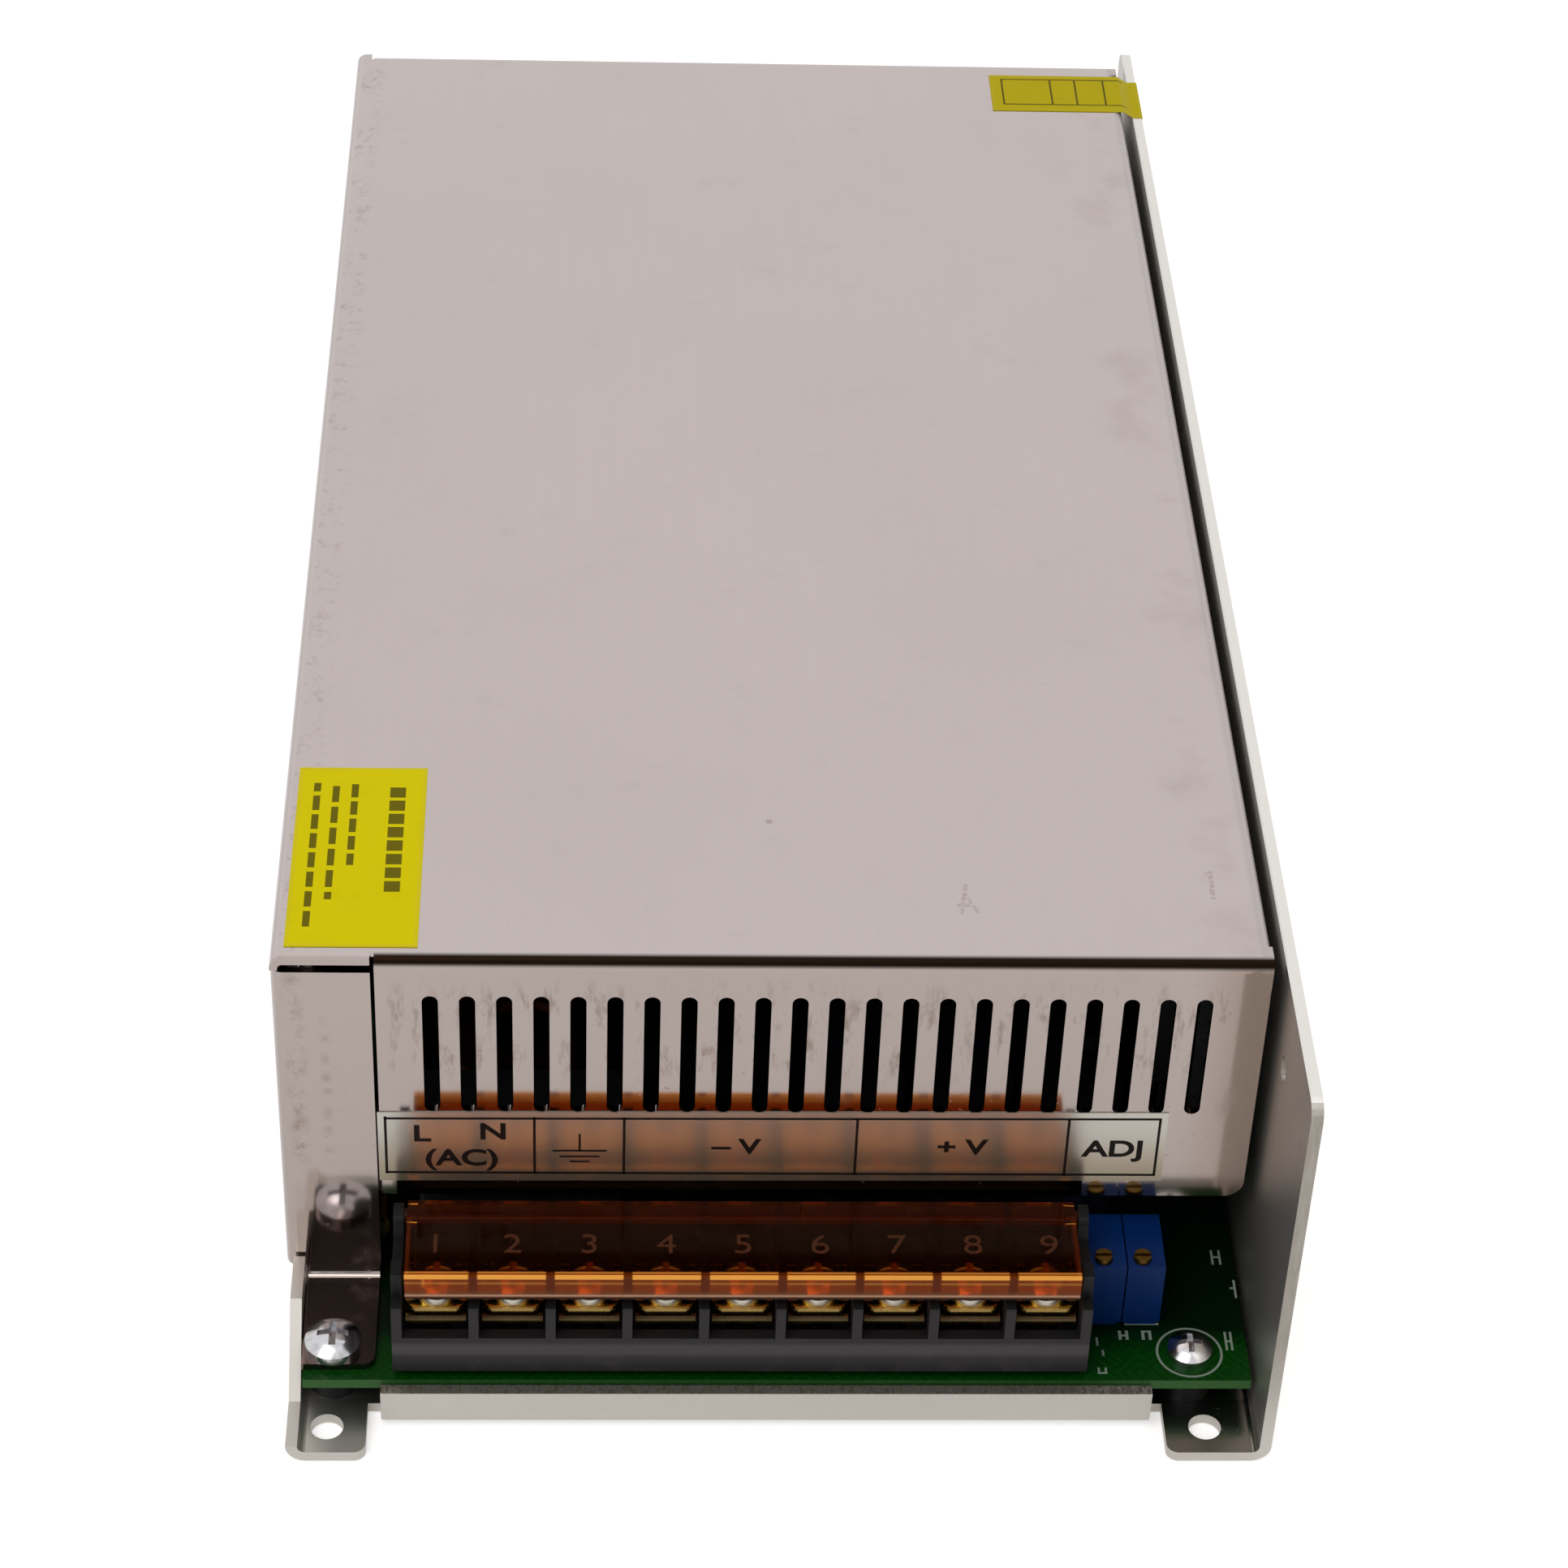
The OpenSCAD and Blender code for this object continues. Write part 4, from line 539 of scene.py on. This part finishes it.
def amberPlastic():
    look = Look("amberClear", Transmission_Weight=1.0, IOR=1.2, Specular_IOR_Level=0.08)
    x, y, z = look.axes()
    low, high = span("flip_cover")
    first, second = span("clamp_washer_1"), span("clamp_washer_2")
    pitch = second[0].x - first[0].x
    start = (first[0].x + first[1].x - pitch) / 2
    left, right = low.x + amber["end"], high.x - amber["end"]
    near, far = amber["frame"]
    streak = look.noise(12, 3, 0.6, (1, 3, 3))
    # the lip from top to bottom: painted highlight line, painted glow below it, pale rim, painted highlight
    # at the foot, painted shade on the underside
    pole = (x - start).repeat(pitch).inside(amber["web"], pitch - amber["web"], 0.15)
    lip = y.ramp(low.y + 1.0, low.y + 0.7)
    crest = y.ramp(low.y + 0.5, low.y + 0.3) * z.ramp(high.z - 0.85, high.z - 0.65)
    spark = y.inside(low.y + 0.6, low.y + 0.95, 0.1) * z.ramp(high.z - 0.4, high.z - 0.2) * 0.6
    line = (crest * z.ramp(high.z - 0.55, high.z - 0.35) + spark).least(1) * pole * x.inside(left, right, 0.1)
    glow = lip * z.inside(high.z - 1.35, high.z - 0.95, 0.15) * pole * 0.6
    rim = lip * z.ramp(low.z + 1.7, low.z + 1.0)
    foot = lip * z.inside(low.z + 0.5, low.z + 0.85, 0.12)
    under = lip * z.ramp(low.z + 0.4, low.z + 0.25)
    across = y.inside(far - 0.4, far + 0.2, 0.12) * x.inside(left, right, 0.1)
    along = (x - low.x - 1.6).inside(0, 0.5, 0.1) + (high.x - x - 1.6).inside(0, 0.5, 0.1)
    frame = across + along * y.inside(near, far, 0.2)
    ends = 1 - x.inside(low.x + 1.1, high.x - 1.1, 0.15)
    back = (y + 0.3 * streak).inside(high.y - 3.3, high.y - 2.8, 0.1) + 0.4 * y.ramp(high.y - 3, high.y - 2)
    tint = look.mix(streak.ramp(0.35, 0.7) * 0.35, paint(*amber["tint"]), paint(*amber["cloud"]))
    # painted shade: the lip darker at the barriers between the poles
    shade = look.mix(pole * 0.6 + 0.4, paint(*amber["gap"]), paint(*amber["lip"]))
    shade = look.mix(back, shade, paint(*amber["rear"]))
    shade = look.mix(rim * 0.8, shade, paint(*amber["rim"]))
    shade = look.mix(foot, shade, paint(*amber["foot"]))
    shade = look.mix(under, shade, paint(*amber["under"]))
    shade = look.mix((line + glow).least(1), shade, paint(*amber["line"]))
    cloud = 0.006 + lip * 0.36 + line * 0.62 + glow * 0.1 + foot * 0.3 + under * 0.4
    cloud = cloud + ends * 0.16 + back * 0.1 + frame * 0.08
    look.set("Base Color", tint)
    look.set("Roughness", 0.05 + 0.06 * streak)
    look.bump(look.noise(3, 2, 0.5), 0.02, 0.15)
    look.over(cloud.least(1), shade, amber["rough"], amber["shine"])
    return look


wear(amberPlastic(), "flip_cover")


def addPiece(name, mesh, look, body):
    piece = bpy.data.objects.new(name, mesh)
    bpy.context.scene.collection.objects.link(piece)
    mesh.materials.clear()
    mesh.materials.append(look.material)
    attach(piece, body)


def lettering(name, words, size, place, look, body, style):
    # words lie flat at the place, in millimetres, then lean up by so many degrees
    curve = bpy.data.curves.new(name, "FONT")
    curve.body = words
    curve.size = size / 1000
    curve.extrude = style["deep"] / 1000
    curve.offset = style["weight"] / 1000
    curve.align_x, curve.align_y = "CENTER", "CENTER"
    flat = bpy.data.objects.new(name + "_curve", curve)
    bpy.context.scene.collection.objects.link(flat)
    bpy.context.view_layer.update()
    mesh = bpy.data.meshes.new_from_object(flat.evaluated_get(bpy.context.evaluated_depsgraph_get()))
    bpy.data.objects.remove(flat)
    mesh.transform(Matrix.Translation(at(*place)) @ Matrix.Rotation(math.radians(style["lean"]), 4, "X")
                   @ Matrix.Diagonal((style["wide"], 1, 1, 1)))
    mesh.name = name
    addPiece(name, mesh, look, body)


numeral = {"ink": (92, 46, 18), "worn": (44, 18, 6), "size": 4.6, "middle": 13.6, "proud": 0.02,
           "deep": 0.12, "wide": 1.15, "weight": -0.02, "lean": 0}


def flapNumerals():
    look = Look("amberNumeral", Roughness=0.45, Specular_IOR_Level=0.2)
    look.set("Base Color", look.mix(look.noise(0.6, 2, 0.6), paint(*numeral["ink"]), paint(*numeral["worn"])))
    look.bump(look.noise(0.3, 2, 0.5), 0.02, 0.3)
    face = span("flip_cover")[1].z - numeral["deep"] + numeral["proud"]
    for i, washer in enumerate(numbered("clamp_washer", 9), 1):
        low, high = span(washer)
        place = ((low.x + high.x) / 2, numeral["middle"], face)
        lettering(f"flap_numeral_{i}", str(i), numeral["size"], place, look, "flap", numeral)


flapNumerals()
print("flip cover done")


# legend over the terminals: a bright film with dark print; words are text, X, Z and size

legend = {"strip": (182, 169, 148), "pale": (207, 202, 194), "haze": (172, 160, 144), "ink": (22, 15, 12),
          "worn": (70, 58, 48), "paleFrom": 27, "paleTo": 36, "skin": 0.03, "line": 0.34, "earthLine": 0.28,
          "frame": (12.4, 110.15, 26.85, 36.5), "topTilt": 0.15, "lowTilt": 0.05,
          "bars": (31.1, 42.4, 71.8, 98.6),
          "earth": [((36.8, 33.6), (36.8, 30.8)), ((33.5, 30.8), (40.1, 30.8)),
                    ((34.4, 29.8), (39.2, 29.8)), ((35.7, 28.9), (37.9, 28.9))],
          "words": {"line": ("L", 16.9, 33.6, 3.9), "neutral": ("N", 25.9, 34.0, 3.9),
                    "supply": ("(AC)", 21.9, 29.4, 3.9), "minus": ("\u2013 V", 56.6, 31.5, 3.6),
                    "plus": ("+ V", 85.2, 31.5, 3.6), "adjust": ("ADJ", 104.6, 31.3, 3.9)},
          "deep": 0.015, "wide": 1.2, "weight": 0.1, "lean": 90}


def printInk():
    look = Look("darkInk", Roughness=0.5, Specular_IOR_Level=0.15)
    wornAway = look.noise(0.5, 3, 0.6).ramp(0.6, 0.8)
    look.set("Base Color", look.mix(wornAway * 0.4, paint(*legend["ink"]), paint(*legend["worn"])))
    look.bump(look.noise(0.2, 2, 0.5), 0.005, 0.2)
    return look


def legendFilm():
    look = Look("legendFilm", Metallic=0.82)
    haze = look.noise(18, 2, 0.5)
    # painted reflection: the film warmer and darker low down, where the amber flap shows in it
    reflectionFade = look.axes()[2].ramp(legend["paleFrom"], legend["paleTo"])     # paler towards the slots
    shade = look.mix(reflectionFade, paint(*legend["strip"]), paint(*legend["pale"]))
    look.set("Base Color", look.mix(haze * 0.3, shade, paint(*legend["haze"])))
    look.set("Roughness", 0.2 + 0.08 * haze)
    look.bump(look.noise(9, 2, 0.4), 0.03, 0.15)
    return look


def strokes(name, lines, look, face, wide):
    # flat bars from point to point on the panel, face is its Y
    mesh = bpy.data.meshes.new(name)
    build = bmesh.new()
    for (x0, z0), (x1, z1) in lines:
        along = Vector((x1 - x0, 0, z1 - z0)).normalized()
        side = Vector((-along.z, 0, along.x)) * wide / 2
        a, b = Vector((x0, face, z0)) - along * wide / 2, Vector((x1, face, z1)) + along * wide / 2
        ring = [a - side, b - side, b + side, a + side]
        front = [build.verts.new(at(p.x, p.y - legend["skin"], p.z)) for p in ring]
        back = [build.verts.new(at(p.x, p.y, p.z)) for p in ring]
        build.faces.new(front)
        build.faces.new(list(reversed(back)))
        for i in range(4):
            build.faces.new([front[i], back[i], back[(i + 1) % 4], front[(i + 1) % 4]])
    bmesh.ops.recalc_face_normals(build, faces=build.faces)
    build.to_mesh(mesh)
    build.free()
    addPiece(name, mesh, look, "case")


def legendPrint():
    ink = printInk()
    face = span("terminal_legend")[0].y
    left, right, low, high = legend["frame"]
    top, bottom = legend["topTilt"], legend["lowTilt"]
    bars = [((left, high - top), (right, high + top)), ((left, low + bottom), (right, low - bottom))]
    bars += [((x, low), (x, high)) for x in (left, right, *legend["bars"])]
    strokes("legend_frame", bars, ink, face, legend["line"])
    strokes("legend_earth", legend["earth"], ink, face, legend["earthLine"])
    for name, (words, x, z, size) in legend["words"].items():
        place = (x, face - legend["deep"], z)
        lettering("legend_" + name, words, size, place, ink, "case", legend)


wear(legendFilm(), "terminal_legend")
legendPrint()


# yellow label and seal: printed bars, each as left, right, near and far side, and the step that breaks it

paper = {"edge": (196, 180, 60), "rim": 0.5, "density": 0.8, "gap": 0.22}
yellowLabel = {"paper": (222, 206, 0),
               "bars": ((12.4, 14.4, 36.5, 57.6, 2.6), (7.5, 8.4, 42, 58, 3.4), (5.1, 6.0, 35.5, 58, 4.1),
                        (2.7, 3.6, 29.8, 58, 3.7))}
yellowSeal = {"paper": (188, 170, 0),
              "bars": ((102.8, 122.6, 229.8, 230.1, 0), (102.8, 122.6, 237.6, 237.9, 0),
                       (102.8, 103.1, 229.8, 237.9, 0), (110.6, 110.9, 229.8, 237.9, 0),
                       (114.6, 114.9, 229.8, 237.9, 0), (119.2, 119.5, 229.8, 237.9, 0))}


def yellowPaper(name, node, colours):
    look = Look(name, Roughness=0.4, Specular_IOR_Level=0.05)
    x, y = look.axes()[:2]
    low, high = span(node)
    colour, rim = colours["paper"], paper["rim"]
    soil = look.noise(5, 4, 0.7).ramp(0.5, 0.8)
    middle = x.inside(low.x + rim, high.x - rim, 0.3) * y.inside(low.y + rim, high.y - rim, 0.3)
    shade = look.mix(soil * 0.25, paint(*colour), shaded(colour, 0.85))
    shade = look.mix((1 - middle) * 0.25, shade, paint(*paper["edge"]))
    marks = 0
    for left, right, near, far, step in colours["bars"]:
        bar = x.inside(left, right, 0.04) * y.inside(near, far, 0.04)
        marks = marks + (bar * (y.repeat(step) > step * paper["gap"]) if step else bar)
    look.set("Base Color", look.mix(marks.least(1) * paper["density"], shade, paint(*legend["ink"])))
    look.bump(look.noise(2.5, 2, 0.5), 0.02, 0.2)
    return look


wear(yellowPaper("labelYellow", "yellow_label", yellowLabel), "yellow_label")
wear(yellowPaper("sealYellow", "seal_strip", yellowSeal), "seal_strip")
print("legend and labels done")


# floor, light and camera

studio = {"floor": 4, "drop": 0.0002, "floorColour": (0.9, 0.9, 0.9, 1), "paper": 0.45, "mirrored": 0.2,
          "sky": 0.5, "lampSize": 0.9,
          "key": {"place": (-0.5, -0.7, 1.3), "power": 7.0},
          "fill": {"place": (0.9, 0.3, 1.1), "power": 3.0}}
cloth = {"colour": (24, 20, 18), "halfWide": 0.32, "halfTall": 0.2, "reach": 2.6}
view = {"place": (39.26, -352.76, 402.89), "turn": 3.248, "down": 39.521, "roll": 2.478, "lens": 95.66646,
        "sensor": 36}                # lengths in millimetres, angles in degrees
whitePaint = (1, 1, 1, 1)


def stageSheet(name, corners, look):
    mesh = bpy.data.meshes.new(name)
    mesh.from_pydata(corners, [], [(0, 1, 2, 3)])
    mesh.materials.append(look.material)
    thing = bpy.data.objects.new(name, mesh)
    bpy.context.scene.collection.objects.link(thing)
    return thing


def stageFloor():                    # white to the camera, pale in the metal
    look = Look("floorPaper", Base_Color=studio["floorColour"], Roughness=0.9)
    clear = look.rays("Camera", "Transmission")
    strength = clear * studio["paper"] + look.rays("Glossy") * (1 - clear) * studio["mirrored"]
    glow = look.add("ShaderNodeEmission", None, {"Color": whitePaint, "Strength": strength})
    look.surface(look.add("ShaderNodeAddShader", None, {0: glow, 1: look.first()}))
    far = studio["floor"]
    floor = stageSheet("floor", [(-far, -far, 0), (far, -far, 0), (far, far, 0), (-far, far, 0)], look)
    floor.location.z = -studio["drop"]


def curtain():                       # a dark cloth behind the camera, which only bright metal shows
    turn = math.radians(view["turn"])
    middle = at(*view["place"]) * cloth["reach"]
    across = Vector((math.cos(turn), -math.sin(turn), 0))
    upright = across.cross(-middle.normalized())
    corners = [middle + across * cloth["halfWide"] * i + upright * cloth["halfTall"] * j
               for i, j in ((-1, -1), (1, -1), (1, 1), (-1, 1))]
    look = Look("curtainCloth", Base_Color=paint(*cloth["colour"]), Roughness=0.9)
    hung = stageSheet("curtain", corners, look)
    hung.visible_camera = hung.visible_diffuse = hung.visible_shadow = False


def openSky():
    world = bpy.data.worlds.new("studio")
    world.use_nodes = True
    bpy.context.scene.world = world
    sky = Tree(world.node_tree)
    background = world.node_tree.nodes["Background"]
    seen = sky.rays("Camera", "Glossy", "Transmission")
    sky.feed(background.inputs["Color"], whitePaint)
    sky.feed(background.inputs["Strength"], seen * (1 - studio["sky"]) + studio["sky"])


def softLight(name, place, power):
    lamp = bpy.data.lights.new(name, "AREA")
    lamp.energy = power
    lamp.size = studio["lampSize"]
    thing = bpy.data.objects.new(name, lamp)
    thing.location = place
    thing.rotation_euler = (-Vector(place)).to_track_quat("-Z", "Y").to_euler()
    bpy.context.scene.collection.objects.link(thing)


def viewCamera():
    turn, down, roll = [math.radians(view[key]) for key in ("turn", "down", "roll")]
    ahead = Vector((math.sin(turn) * math.cos(down), math.cos(turn) * math.cos(down), -math.sin(down)))
    right = Vector((math.cos(turn), -math.sin(turn), 0))
    up = right.cross(ahead)
    across = math.cos(roll) * right + math.sin(roll) * up
    upright = math.cos(roll) * up - math.sin(roll) * right
    lens = bpy.data.cameras.new("camera")
    lens.sensor_width = view["sensor"]
    lens.lens = view["lens"]
    lens.clip_start, lens.clip_end = 0.01, 20
    camera = bpy.data.objects.new("camera", lens)
    aim = Matrix((across, upright, -ahead)).transposed().to_4x4()
    camera.matrix_world = Matrix.Translation(at(*view["place"])) @ aim
    bpy.context.scene.collection.objects.link(camera)
    bpy.context.scene.camera = camera


stageFloor()
openSky()
curtain()
softLight("key", **studio["key"])
softLight("fill", **studio["fill"])
viewCamera()
bpy.context.scene.view_settings.view_transform = "Standard"
print("stage done")
